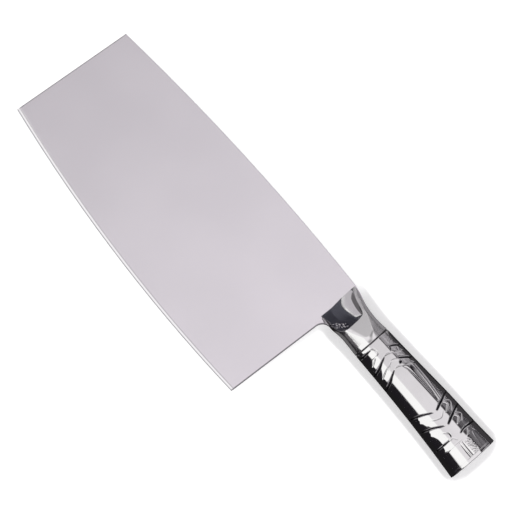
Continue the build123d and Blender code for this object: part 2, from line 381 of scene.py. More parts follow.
@dataclass(frozen=True)
class Maker:
    """Makes the objects and hangs each on the knife's body."""

    knife: KnifeFrame

    def make(
        self,
        name: str,
        points: Array,
        faces: Faces,
        finishes: list[Material],
        replaces: tuple[str, ...],
        slot: Slot = Slot.POLISHED,
        finish_of: Array | None = None,
        sharp_angle: float = 40.0,
    ) -> None:
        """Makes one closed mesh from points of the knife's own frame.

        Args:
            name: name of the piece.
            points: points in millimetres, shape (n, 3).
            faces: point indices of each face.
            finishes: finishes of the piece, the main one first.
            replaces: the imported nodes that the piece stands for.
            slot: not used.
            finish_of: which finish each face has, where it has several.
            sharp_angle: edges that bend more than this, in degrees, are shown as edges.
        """
        mesh = bpy.data.meshes.new(name)
        mesh.from_pydata(self.knife.lay(points).tolist(), [], faces)
        work = bmesh.new()
        work.from_mesh(mesh)
        bmesh.ops.recalc_face_normals(work, faces=work.faces)
        work.to_mesh(mesh)
        work.free()
        mesh.polygons.foreach_set("use_smooth", [True] * len(faces))
        mesh.set_sharp_from_angle(angle=math.radians(sharp_angle))
        for finish in finishes:
            mesh.materials.append(finish)
        if finish_of is not None:
            mesh.polygons.foreach_set("material_index", finish_of.astype(np.int32))
        piece = bpy.data.objects.new(name, mesh)
        bpy.context.scene.collection.objects.link(piece)
        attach(piece, BODY)
        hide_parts(*replaces)
        log.info("made %s with %d faces", name, len(faces))


# Node graphs


class Graph:
    """Short calls that add nodes to the tree of a material or world."""

    def __init__(self, owner: bpy.types.ID) -> None:
        """Starts with an empty tree.

        Args:
            owner: the material or world.
        """
        owner.use_nodes = True
        self.tree = owner.node_tree
        self.tree.nodes.clear()

    def add(self, kind: str, **settings: object) -> bpy.types.Node:
        """Adds a node.

        Args:
            kind: the node's type, without the word that all shader nodes start with.
            settings: properties of the node, or inputs where the name starts with an underscore.

        Returns:
            The node.
        """
        node = self.tree.nodes.new(f"ShaderNode{kind}")
        for key, value in settings.items():
            if key.startswith("_"):
                name = key[1:].replace("_", " ")
                self.feed(node.inputs[int(name)] if name.isdigit() else node.inputs[name], value)
            else:
                setattr(node, key, value)
        return node

    def feed(self, socket: Socket, value: object) -> None:
        """Links a socket's output into an input, or writes a plain value there.

        Args:
            socket: the input.
            value: another socket or a plain value.
        """
        if isinstance(value, Socket):
            self.tree.links.new(value, socket)
        else:
            socket.default_value = value

    def math(self, operation: str, *terms: object) -> Socket:
        """One sum, with up to three terms.

        Args:
            operation: the node's operation.
            terms: sockets or numbers.

        Returns:
            The socket of the result.
        """
        node = self.add("Math", operation=operation)
        for socket, value in zip(node.inputs, terms):
            self.feed(socket, value)
        return node.outputs[0]

    def distance(self, places: Socket, middle: Triple) -> Socket:
        """How far places are from a middle, in metres."""
        return self.add("VectorMath", operation="DISTANCE", _0=places, _1=middle).outputs["Value"]

    def ramp(self, value: object, start: float, end: float, low: float = 0.0, high: float = 1.0) -> Socket:
        """Turns a value from start to end smoothly into one from low to high.

        Args:
            value: the value.
            start: where the ramp starts.
            end: where it ends.
            low: result at start and before it.
            high: result at end and beyond.

        Returns:
            The socket of the result.
        """
        node = self.add("MapRange", interpolation_type="SMOOTHSTEP")
        for socket, number in zip(node.inputs, (value, start, end, low, high)):
            self.feed(socket, number)
        return node.outputs[0]

    def mix(self, share: object, a: object, b: object) -> Socket:
        """Mixes two colours."""
        a, b = ((*colour, 1.0) if isinstance(colour, tuple) else colour for colour in (a, b))
        return self.add("Mix", data_type="RGBA", _0=share, _6=a, _7=b).outputs[2]

    def blend(self, share: object, a: object, b: object) -> Socket:
        """Mixes two numbers."""
        return self.add("Mix", data_type="FLOAT", _0=share, _2=a, _3=b).outputs[0]

    def spots(self) -> Socket:
        """Places on the object, in metres."""
        return self.add("TexCoord").outputs["Object"]

    def axes(self, places: Socket) -> bpy.types.bpy_prop_collection:
        """The x, y and z of places."""
        return self.add("SeparateXYZ", _Vector=places).outputs

    def places(self, stretch: Triple) -> Socket:
        """Places on the object in texture units, of which stretch says how many a millimetre is."""
        scale = tuple(number / MM for number in stretch)
        return self.add("Mapping", vector_type="POINT", _Vector=self.spots(), _Scale=scale).outputs[0]

    def noise(self, stretch: Triple, scale: float, detail: float = 2.0, rough: float = 0.5) -> Socket:
        """A cloudy pattern from 0 to 1."""
        places = self.places(stretch)
        return self.add("TexNoise", _Vector=places, _Scale=scale, _Detail=detail, _Roughness=rough).outputs[0]

    def bump(self, height: object, depth: float, under: Socket | None = None) -> Socket:
        """Normals of a fine relief.

        Args:
            height: the relief, where 1 is the full depth.
            depth: depth in millimetres.
            under: normals of a coarser relief that this one lies on.

        Returns:
            The socket of the normals.
        """
        node = self.add("Bump", _Strength=1.0, _Distance=depth * MM, _Height=height)
        if under is not None:
            self.feed(node.inputs["Normal"], under)
        return node.outputs[0]


def glowing(name: str, paint: object) -> Material:
    """A surface of the studio that shines.

    Args:
        name: name of the material.
        paint: takes the graph and gives the colour's socket.

    Returns:
        The material.
    """
    material = bpy.data.materials.new(name)
    graph = Graph(material)
    light = graph.add("Emission", _Color=paint(graph), _Strength=1.0)
    graph.add("OutputMaterial", _Surface=light.outputs[0])
    return material


@dataclass(frozen=True)
class Steel:
    """A bare steel finish: what all of them share."""

    name: str
    colour: Triple = (0.686, 0.659, 0.69)
    shade: Triple = (0.66, 0.635, 0.665)
    roughness: float = 0.09
    roughness_spread: float = 0.04

    def build(self) -> Material:
        """Makes the material.

        Returns:
            The material, whose colour, roughness and relief each finish gives by itself.
        """
        material = bpy.data.materials.new(self.name)
        graph = Graph(material)
        shader = graph.add("BsdfPrincipled", _Metallic=1.0)
        graph.add("OutputMaterial", _Surface=shader.outputs[0])
        graph.feed(shader.inputs["Base Color"], self.tint(graph))
        graph.feed(shader.inputs["Roughness"], self.polish(graph))
        graph.feed(shader.inputs["Normal"], self.relief(graph))
        return material

    def tint(self, graph: Graph) -> Socket:
        """Colour, a little uneven."""
        clouds = graph.noise(EVEN, 0.06, 3.0)
        return graph.mix(graph.ramp(clouds, 0.35, 0.65), self.colour, self.shade)

    def spread(self, graph: Graph, pattern: Socket) -> Socket:
        """Roughness that follows a pattern."""
        low = self.roughness - self.roughness_spread / 2
        return graph.ramp(pattern, 0.3, 0.7, low, low + self.roughness_spread)

    def polish(self, graph: Graph) -> Socket:
        """Roughness, a little uneven."""
        return self.spread(graph, graph.noise(EVEN, 0.35, 3.0))

    def relief(self, graph: Graph) -> Socket:
        """Fine relief of the surface."""
        return graph.bump(graph.noise(EVEN, 0.5), 0.001)


@dataclass(frozen=True)
class SatinSteel(Steel):
    """The blade's finely ground faces and its whetted bevels, with dark lines of painted shade along the
    bevel's borders, the edge and the heel.
    """

    roughness: float = 0.24
    bevel_roughness: float = 0.15
    bevel_width: float = 1.9
    # the bevel is the same steel, painted a little darker as painted shade, so that its reflection stays
    # below white
    bevel_dimmed_colour: Triple = (0.62, 0.605, 0.625)
    bevel_fade: float = 0.1
    line_width: float = 0.42
    # dark colour painted along the bevel's borders, the edge and the heel, as painted shade of those edges
    painted_edge_shade: Triple = (0.14, 0.135, 0.145)
    # strength of the painted shade lines above the bevel, at the edge and beside the heel
    painted_line_shares: Triple = (0.6, 0.9, 0.85)
    # centre of the edge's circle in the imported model, and its radius in millimetres
    centre: Triple = (0.0, 0.0, 0.0)
    radius: float = 1.0
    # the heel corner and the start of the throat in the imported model
    heel: tuple[Pair, Pair] = ((0.0, 0.0), (0.0, 1.0))
    throat_radius: float = 6.0

    def reach(self, graph: Graph) -> Socket:
        """How far a place lies inside the cutting edge, in millimetres."""
        return graph.math("MULTIPLY_ADD", graph.distance(graph.spots(), self.centre), -1 / MM, self.radius)

    def tint(self, graph: Graph) -> Socket:
        """Colour with a faint cloudiness, and the dark lines of painted shade beside the bevel.

        Args:
            graph: node tree of the material.

        Returns:
            The socket of the colour.
        """
        width = self.line_width
        above, edge, _ = self.painted_line_shares
        steel = graph.mix(graph.ramp(graph.noise(EVEN, 0.02, 1.0), 0.3, 0.7), self.colour, self.shade)
        reach = self.reach(graph)
        in_bevel = graph.ramp(reach, self.bevel_width, self.bevel_width - width / 2)
        steel = graph.mix(in_bevel, steel, self.bevel_dimmed_colour)
        off_line = graph.math("ABSOLUTE", graph.math("SUBTRACT", reach, self.bevel_width))
        inner = graph.ramp(off_line, 0.0, width, above, 0.0)
        outer = graph.ramp(reach, width * 0.75, width * 1.5, edge, 0.0)
        # painted shade: dark lines at the bevel's borders, the edge and the heel
        lines = graph.math("MAXIMUM", graph.math("MAXIMUM", inner, outer), self.painted_heel_shade_line(graph))
        return graph.mix(lines, steel, self.painted_edge_shade)

    def painted_heel_shade_line(self, graph: Graph) -> Socket:
        """The dark line of painted shade beside the heel and round the throat.

        Args:
            graph: node tree of the material.

        Returns:
            The socket of the line's strength, from 0 to 1.
        """
        places = graph.spots()
        x, y, _ = graph.axes(places)
        (low_x, low_y), (high_x, high_y) = self.heel
        lean = (high_x - low_x) / (high_y - low_y)
        before = graph.math("MULTIPLY_ADD", y, lean, low_x - lean * low_y)
        beside_heel = graph.math("SUBTRACT", before, x)
        radius = self.throat_radius * MM
        flat = graph.add("VectorMath", operation="MULTIPLY", _0=places, _1=(1.0, 1.0, 0.0)).outputs[0]
        away = graph.distance(flat, (high_x + radius, high_y, 0.0))
        beside_throat = graph.math("SUBTRACT", away, radius)
        reach = graph.blend(graph.math("GREATER_THAN", y, high_y), beside_heel, beside_throat)
        line = self.line_width * MM
        return graph.ramp(reach, line * 1.4, line * 2.4, self.painted_line_shares[2], 0.0)

    def polish(self, graph: Graph) -> Socket:
        """Satin on the faces, keener on the bevels.

        Args:
            graph: node tree of the material.

        Returns:
            The socket of the roughness.
        """
        satin = self.spread(graph, graph.noise((6.0, 0.12, 1.0), 1.0, 3.0, 0.6))
        in_bevel = graph.ramp(self.reach(graph), self.bevel_width, self.bevel_width - self.bevel_fade)
        return graph.blend(in_bevel, satin, self.bevel_roughness)

    def relief(self, graph: Graph) -> Socket:
        """Grinding lines from spine to edge on a slow waviness."""
        waves = graph.bump(graph.noise(EVEN, 0.02, 1.0), 0.005)
        return graph.bump(graph.noise((7.0, 0.10, 1.0), 1.0, 4.0, 0.65), 0.0010, waves)


@dataclass(frozen=True)
class MirrorSteel(Steel):
    """Buffed steel of the neck and grip, with the slow waves and hairlines of hand polishing."""

    colour: Triple = (0.655, 0.65, 0.65)
    shade: Triple = (0.625, 0.62, 0.62)
    roughness: float = 0.085
    wave_depth: float = 0.006
    streak_depth: float = 0.004
    hair_depth: float = 0.0006
    pit_depth: float = 0.010
    pit_size: float = 0.07

    def relief(self, graph: Graph) -> Socket:
        """Slow waves, streaks and hairlines along the knife, and small pits of the casting.

        Args:
            graph: node tree of the material.

        Returns:
            The socket of the normals.
        """
        waves = graph.bump(graph.noise((0.35, 1, 1), 0.42), self.wave_depth)
        drawn = graph.bump(graph.noise((0.06, 1.3, 1.3), 1.0), self.streak_depth, waves)
        fine = graph.bump(graph.noise((0.25, 6.0, 6.0), 1.0, 3.0, 0.6), self.hair_depth, drawn)
        cells = graph.add("TexVoronoi", feature="F1", _Vector=graph.places(EVEN), _Scale=0.45)
        return graph.bump(graph.ramp(cells.outputs["Distance"], 0.0, self.pit_size), self.pit_depth, fine)


@dataclass(frozen=True)
class NeckSteel(MirrorSteel):
    """Buffed steel whose lower flank the wheel hardly reached, and whose upper flank is drawn."""

    # where the casting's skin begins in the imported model, and how softly
    flank_start: Pair = (0.0, 0.0)
    flank_fade: float = 0.0012
    mottle_depth: float = 0.08
    # the drawn flank towards the spine: where it begins in x and y, and how it slants
    drawn_start: Pair = (0.0, 0.0)
    drawn_slant: float = 0.27
    drawn_fade: float = 0.0008
    drawn_roughness: float = 0.26

    def polish(self, graph: Graph) -> Socket:
        """Buffed, and rough on the drawn flank.

        Args:
            graph: node tree of the material.

        Returns:
            The socket of the roughness.
        """
        x, y, _ = graph.axes(graph.spots())
        before = graph.math("SUBTRACT", self.drawn_start[0], x)
        rise = graph.math("MULTIPLY", before, self.drawn_slant)
        above = graph.math("SUBTRACT", graph.math("SUBTRACT", y, self.drawn_start[1]), rise)
        share = graph.ramp(above, 0.0, self.drawn_fade)
        return graph.blend(share, super().polish(graph), self.drawn_roughness)

    def relief(self, graph: Graph) -> Socket:
        """The buffed relief, and the skin of the casting behind and below flank_start.

        Args:
            graph: node tree of the material.

        Returns:
            The socket of the normals.
        """
        start_x, start_y = self.flank_start
        x, y, _ = graph.axes(graph.spots())
        below = graph.ramp(y, start_y, start_y - self.flank_fade)
        behind = graph.ramp(x, start_x, start_x + self.flank_fade)
        skin = graph.math("MULTIPLY", graph.noise((0.7, 1, 1), 1.1, 3.0, 0.65), below)
        return graph.bump(graph.math("MULTIPLY", skin, behind), self.mottle_depth, super().relief(graph))


@dataclass(frozen=True)
class TurnedSteel(Steel):
    """The butt's flat face, faced off on a belt."""

    roughness: float = 0.20

    def relief(self, graph: Graph) -> Socket:
        """Belt lines across the butt."""
        return graph.bump(graph.noise((1.0, 9.0, 0.2), 1.0, 4.0, 0.65), 0.004)


@dataclass(frozen=True)
class BeadSteel(Steel):
    """Raw weld, darker and scaly."""

    colour: Triple = (0.62, 0.60, 0.62)
    shade: Triple = (0.12, 0.11, 0.12)
    roughness: float = 0.34
    roughness_spread: float = 0.2

    def relief(self, graph: Graph) -> Socket:
        """Scale and pits."""
        return graph.bump(graph.noise(EVEN, 2.2, 4.0, 0.7), 0.10)


@dataclass(frozen=True)
class PittedSteelPaintedGlints(Steel):
    """The unbuffed corner at the end of the scoop, rough from the casting, with painted glints: bright specks
    on a ground painted near black.
    """

    # the near-black ground and the bright specks are painted glints and painted shade, not the steel's own
    # colour
    colour: Triple = (0.05, 0.05, 0.07)
    shade: Triple = (1.0, 0.98, 1.0)
    roughness: float = 0.55
    roughness_spread: float = 0.1

    def tint(self, graph: Graph) -> Socket:
        """Painted glints: bright specks on a ground painted near black."""
        return graph.mix(graph.ramp(graph.noise(EVEN, 1.3, 1.0), 0.53, 0.57), self.colour, self.shade)

    def relief(self, graph: Graph) -> Socket:
        """Coarse grains."""
        return graph.bump(graph.noise(EVEN, 1.5, 2.0, 0.7), 0.35)


# Sub-assemblies


@dataclass
class Blade:
    """The plate: its solid is right as packed and gets its finish."""

    sizes: BladeSizes
    maker: Maker

    def dress(self) -> Material:
        """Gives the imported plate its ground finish.

        Returns:
            The finish, which the neck's toe shares.
        """
        knife = self.maker.knife
        centre, radius = self.sizes.edge_circle()
        centre = tuple(knife.matrix() @ centre)
        heel = tuple(knife.spot(place) for place in self.sizes.heel_ends())
        finish = SatinSteel("blade_satin", centre=centre, radius=radius, heel=heel).build()
        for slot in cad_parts["blade"].material_slots:
            slot.material = finish
        log.info("dressed blade")
        return finish


@dataclass
class NeckShape:
    """The neck's surface: a full oval that grows round, with a scoop and a flat on each side."""

    blade: BladeSizes
    grip: GripSizes
    length: float = 31.0
    plate_end: float = -22.0
    stations: tuple[float, ...] = (-31.0, -25.73, -20.62, -14.88, -8.99, 0.0)
    rises: tuple[float, ...] = (14.9, 14.2, 12.85, 11.9, 11.55, 12.3)
    drops: tuple[float, ...] = (11.9, 12.1, 12.3, 11.5, 11.4, 11.85)
    depths: tuple[float, ...] = (3.6, 10.0, 14.4, 18.2, 17.8, 17.5)
    fullness: tuple[float, ...] = (4.0, 2.3, 2.4, 2.5, 2.3, 2.0)
    # height of the flat at its start, how it rises to the grip and leans towards the spine
    flat_height: float = 7.75
    flat_start: float = -15.0
    flat_rise: float = 0.07
    flat_middle: float = 1.0
    flat_lean: float = -0.12
    flat_crown: float = 0.004
    # where the flat ends along x at each height, and how it runs out or turns away there
    flat_end: Curve = Curve(
        (-12.0, -8.5, -4.0, -0.5, 3.0, 6.3, 8.3, 9.6, 12.0),
        (-20.0, -16.9, -9.4, -4.6, -4.0, -5.3, -7.6, -12.0, -20.0),
    )
    run_out_slope: float = 0.5
    run_out_ease: float = 2.0
    run_out_heights: Pair = (1.0, 6.0)
    low_turn: float = 0.18
    low_ease: float = 0.5
    low_heights: Pair = (0.0, 2.5)
    low_back: float = 0.045
    low_back_reach: float = 3.5
    # the scoop, as its height along x on the line that parts its light from its dark
    floor: Curve = Curve(
        (-32.0, -31.0, -28.0, -24.5, -21.0, -18.0, -16.5, -15.2, -14.2),
        (0.78, 1.03, 1.9, 2.95, 3.95, 4.85, 5.55, 6.9, 8.6),
    )
    parting: Curve = Curve(
        (-31.1, -28.8, -26.7, -24.1, -21.5, -18.6, -15.2), (4.4, 2.3, 1.5, 1.4, 1.9, 2.7, 3.2)
    )
    shadow: Curve = Curve((-31.0, -28.3, -24.9, -21.0, -15.8), (11.2, 8.4, 7.2, 6.6, 6.4))
    parting_slope: Curve = Curve((-31.0, -24.0, -19.0, -15.0), (0.062, 0.062, 0.064, 0.072))
    shadow_slope: float = 0.11
    top_bend: Curve = Curve((-31.0, -27.0, -22.0, -17.0, -15.0), (0.0, 0.02, 0.11, 0.28, 0.30))
    low_slope: Curve = Curve((-31.0, -24.0, -19.0, -15.0), (0.035, 0.0, -0.03, -0.10))
    rim_fade: float = 0.8
    step: float = 6.8
    step_slope: float = 0.04
    # fillets where the ground faces meet, and the wider one below the flat's start
    fillet: float = 0.12
    low_fillet: float = 1.3
    low_fillet_drop: float = 6.0
    low_fillet_span: Pair = (-16.0, -12.0)

    def oval(self, x: Array) -> tuple[Array, Array, Array]:
        """Middle, half width and half depth of the section at x."""
        return oval_at(x, self.stations, self.rises, self.drops, self.depths)

    def round_height(self, x: Array, share: Array) -> Array:
        """Height of the section before grinding, at a share of its half width.

        Args:
            x: places along the knife, in millimetres from the joint.
            share: share of the half width, from -1 to 1.

        Returns:
            The heights in millimetres.
        """
        _, _, half_depth = self.oval(x)
        power = Curve(self.stations, self.fullness)(x)
        return half_depth * np.clip(1 - np.abs(share) ** power, 0, None) ** (1 / power)

    def flat(self, x: Array, y: Array) -> Array:
        """Height of the ground flat, which runs out towards the grip.

        Args:
            x: places along the knife, in millimetres from the joint.
            y: heights towards the spine, in millimetres above the axis.

        Returns:
            The heights in millimetres.
        """
        off = y - self.flat_middle
        height = self.flat_height + self.flat_rise * (x - self.flat_start)
        height = height + self.flat_lean * off - self.flat_crown * off**2
        past = np.clip(x - self.flat_end(y), 0, None)
        run_out = self.run_out_slope * past**2 / (past + self.run_out_ease)
        run_out = run_out * smooth_step(y, *self.run_out_heights)
        turned = self.low_turn * past**2 / (past + self.low_ease)
        back = self.low_back * np.clip(x + self.low_back_reach, 0, None) ** 2
        return height + run_out - (1 - smooth_step(y, *self.low_heights)) * (turned - back)

    def scoop(self, x: Array, y: Array) -> Array:
        """Height of the scoop, which is hollow both ways.

        Args:
            x: places along the knife, in millimetres from the joint.
            y: heights towards the spine, in millimetres above the axis.

        Returns:
            The heights in millimetres.
        """
        off = y - self.parting(x)
        span = np.maximum(self.shadow(x) - self.parting(x), 1.0)
        slope, low = self.parting_slope(x), self.low_slope(x)
        hollow = (self.shadow_slope - slope) / span
        above = slope * off + hollow * off**2 / 2 + self.top_bend(x) * np.clip(off - span, 0, None) ** 2
        fade = self.rim_fade
        below = low * off + (slope - low) * fade * (np.exp(np.minimum(off, 0) / fade) - 1)
        past_step = np.clip(-off - self.step, 0, None)
        below = below + self.step_slope * past_step**2 / (past_step + 1.0)
        return self.floor(x) + np.where(off > 0, above, below)

    def side_height(self, x: Array, y: Array) -> Array:
        """Height of the left side at a place, before the plate is filled in.

        Args:
            x: places along the knife, in millimetres from the joint.
            y: heights towards the spine, in millimetres above the axis.

        Returns:
            The heights in millimetres.
        """
        middle, half_width, _ = self.oval(x)
        share = np.clip((y - middle) / half_width, -1, 1)
        below = smooth_step(-y, 0.0, self.low_fillet_drop) * smooth_step(x, *self.low_fillet_span)
        height = soft_min(self.round_height(x, share), self.flat(x, y), self.fillet + self.low_fillet * below)
        return soft_min(height, self.scoop(x, y), self.fillet)

    def section(self, x: float, angle: Array) -> tuple[float, Array, Array]:
        """One section of the left side, at angles round the axis.

        Args:
            x: where the section is.
            angle: angles, 0 at the spine side.

        Returns:
            The middle, and y and z at each angle, in millimetres.
        """
        middle, half_width, _ = (float(size) for size in self.oval(np.array(x)))
        y = middle + half_width * np.cos(angle)
        at = np.full_like(y, x)
        return middle, y, np.minimum(self.side_height(at, y), self.round_height(at, np.cos(angle)))


@dataclass
class Neck:
    """Solid neck between blade and grip."""

    shape: NeckShape
    maker: Maker
    pitch: float = 0.2
    columns: int = 230
    spigot_length: float = 9.0
    spigot_clearance: float = 0.2
    proud: float = 0.004
    # where the hardly buffed lower flank and the drawn upper flank begin
    flank_start: Pair = (-16.5, -6.3)
    drawn_start: Pair = (-21.0, 9.2)
    # the rough corner where scoop, flat and throat meet, whose finish has painted glints: its middle, half
    # sizes and slant
    rough_centre: Pair = (-19.7, -7.6)
    rough_reach: Pair = (5.6, 1.5)
    rough_slant: float = 0.90
    raggedness: float = 0.3

    def ring(self, x: float) -> tuple[Array, Array]:
        """One ring of the neck.

        Args:
            x: where the ring is.

        Returns:
            The points round it, and for each whether it only fills the plate's face.
        """
        shape = self.shape
        angle = np.linspace(0, math.pi, self.columns + 1)
        _, y, z = shape.section(x, angle)
        drawn_in = shape.grip.rim_round(-x)
        y = y - drawn_in * np.cos(angle)
        z = z - drawn_in * np.sin(angle)
        z[0] = z[-1] = 0
        plate = shape.blade.half_thickness(y) + self.proud
        fills = (z < plate) & (x < shape.plate_end)
        z = np.where(fills, plate, z)
        z[0] = z[-1] = 0
        left = np.stack((np.full_like(y, x), y, z), axis=1)
        right = left[-2:0:-1] * np.array((1, 1, -1))
        return np.concatenate((left, right)), np.concatenate((fills, fills[-2:0:-1]))

    def is_rough(self, x: float, y: float) -> bool:
        """Whether a place lies in the rough corner, whose border is ragged.

        Args:
            x: place along the knife.
            y: height towards the spine.

        Returns:
            True in the corner.
        """
        off = complex(x - self.rough_centre[0], y - self.rough_centre[1]) * cmath.exp(-1j * self.rough_slant)
        ragged = self.raggedness * math.sin(5.1 * x) * math.sin(4.3 * y + 1.0)
        return (off.real / self.rough_reach[0]) ** 2 + (off.imag / self.rough_reach[1]) ** 2 + ragged < 1

    def build(self, polished: Material, satin: Material, pitted_with_glints: Material) -> None:
        """Makes the neck with its spigot.

        Args:
            polished: finish of the neck.
            satin: the blade's finish, for the toe where the neck lies in the blade's face.
            pitted_with_glints: finish of the rough corner, with painted glints.
        """
        shape = self.shape
        near = shape.grip.groove_round
        places = np.linspace(-shape.length, -near, round(shape.length / self.pitch))
        rings, fills = zip(*(self.ring(x) for x in (*places, *np.linspace(-near, 0, 6)[1:])))
        count = len(rings[0])
        spigot = shape.grip.ring(np.zeros(count), around(count), shape.grip.wall + self.spigot_clearance)
        points = np.concatenate((*rings, spigot, spigot + np.array((self.spigot_length, 0, 0))))
        flags = np.concatenate((*fills, np.zeros(2 * count, bool)))
        faces = rod_faces(len(rings) + 2, count)
        finish_of = np.zeros(len(faces))
        for k, face in enumerate(faces[:-2]):
            corners = list(face)
            if flags[corners].any():
                finish_of[k] = 1
            elif self.is_rough(*points[corners, :2].mean(axis=0)):
                finish_of[k] = 2
        finishes = [polished, satin, pitted_with_glints]
        self.maker.make("neck", points, faces, finishes, ("bolster",), finish_of=finish_of, sharp_angle=48.0)


def within(s: Array, y: Array, line: Array, reach: float) -> tuple[Array, Array]:
    """Finds which places lie in the box of a line.

    Args:
        s: distances from the joint.
        y: heights above the axis.
        line: points of the line, as rows.
        reach: how far the box goes beyond them.

    Returns:
        For each place whether it lies in the box, and the places that do, as rows.
    """
    low, high = line.min(axis=0) - reach, line.max(axis=0) + reach
    near = (s > low[0]) & (s < high[0]) & (y > low[1]) & (y < high[1])
    return near, np.stack((s[near], y[near]), axis=1)


def beside(place: Array, start: Array, end: Array) -> tuple[Array, Array]:
    """Measures how places lie beside a straight run.

    Args:
        place: the places, as rows.
        start: where the run starts.
        end: where it ends.

    Returns:
        The share of the run that is nearest to each place, and the distance to it.
    """
    run = end - start
    share = np.clip((place - start) @ run / (run @ run), 0, 1)
    return share, np.linalg.norm(place - start - share[:, None] * run, axis=1)


@dataclass(frozen=True)
class Stroke:
    """One line of the ornament, cut in, or raised where its slope is below 0.

    Each point holds the distance from the joint, the height above the axis and the width there. The
    side to the left of the line's run is lean times as wide as the other.
    """

    points: tuple[Triple, ...]
    slope: float = 0.7
    soft: bool = False
    lean: float = 1.0
    steps: int = 6

    def relief(self, s: Array, y: Array) -> Array:
        """Works out what the line adds to the height of the grip.

        Args:
            s: distances from the joint.
            y: heights above the grip's axis.

        Returns:
            The change of height in millimetres.
        """
        knots = np.array(self.points)
        order = tuple(range(len(knots)))
        fine = np.linspace(0, order[-1], order[-1] * self.steps + 1)
        line = np.stack([Curve(order, tuple(knots[:, k]))(fine) for k in range(3)], axis=1)
        near, place = within(s, y, line[:, :2], line[:, 2].max() / 2 * self.lean)
        deep = np.zeros(len(place))
        for start, end in zip(line, line[1:]):
            share, off = beside(place, start[:2], end[:2])
            reach = (start[2] + (end[2] - start[2]) * share) / 2
            run, away = end - start, place - start[:2]
            left = run[0] * away[:, 1] > run[1] * away[:, 0]
            inside = np.clip(1 - off / reach / np.where(left, self.lean, 1), 0, 1)
            inside = smooth_step(inside, 0, 1) if self.soft else inside
            deep = np.maximum(deep, reach * inside)
        height = np.zeros_like(s)
        height[near] = -self.slope * deep
        return height


@dataclass(frozen=True)
class Leaf:
    """A flat leaf: where the oval bends away below it, the leaf goes on as a plane.

    outline holds the corners as distance from the joint and height above the axis.
    """

    outline: tuple[Pair, ...]
    slope: float = 0.30
    rise: float = 0.08
    rise_fade: Pair = (0.3, 3.5)
    edge: float = 0.22

    def relief(self, s: Array, y: Array, grip: GripSizes) -> Array:
        """Works out what the leaf adds to the height of the grip.

        Args:
            s: distances from the joint.
            y: heights above the grip's axis.
            grip: sizes of the grip that carries it.

        Returns:
            The change of height in millimetres.
        """
        corners = np.array(self.outline)
        near, place = within(s, y, corners, 1)
        inside = np.zeros(len(place), bool)
        off = np.full(len(place), np.inf)
        for start, end in zip(corners, np.roll(corners, -1, axis=0)):
            off = np.minimum(off, beside(place, start, end)[1])
            spans = (start[1] > place[:, 1]) != (end[1] > place[:, 1])
            with np.errstate(divide="ignore", invalid="ignore"):
                cross = start[0] + (place[:, 1] - start[1]) * (end[0] - start[0]) / (end[1] - start[1])
            inside ^= spans & (place[:, 0] < cross)
        middle, half_width, half_depth = grip.oval(place[:, 0])
        share = (place[:, 1] - middle) / half_width
        ratio = self.slope * half_width / half_depth
        turn = -ratio / np.sqrt(1 + ratio**2)
        round_height = half_depth * np.sqrt(np.clip(1 - share**2, 0, 1))
        flat_height = half_depth * np.sqrt(1 - turn**2) + self.slope * half_width * (share - turn)
        lift = np.where(share < turn, flat_height - round_height, 0.0)
        lift = lift + self.rise * smooth_step(-place[:, 1], *self.rise_fade)
        height = np.zeros_like(s)
        height[near] = smooth_step(np.where(inside, off, -off), -self.edge, self.edge) * lift
        return height


def cut(*points: Triple) -> Stroke:
    """A sharp line, cut deep."""
    return Stroke(points)


def soft(slope: float, *points: Triple) -> Stroke:
    """A soft line, hollow or raised by its slope."""
    return Stroke(points, slope, soft=True)


def leaf(*outline: Pair) -> Leaf:
    """A flat leaf with its corners in order."""
    return Leaf(outline)


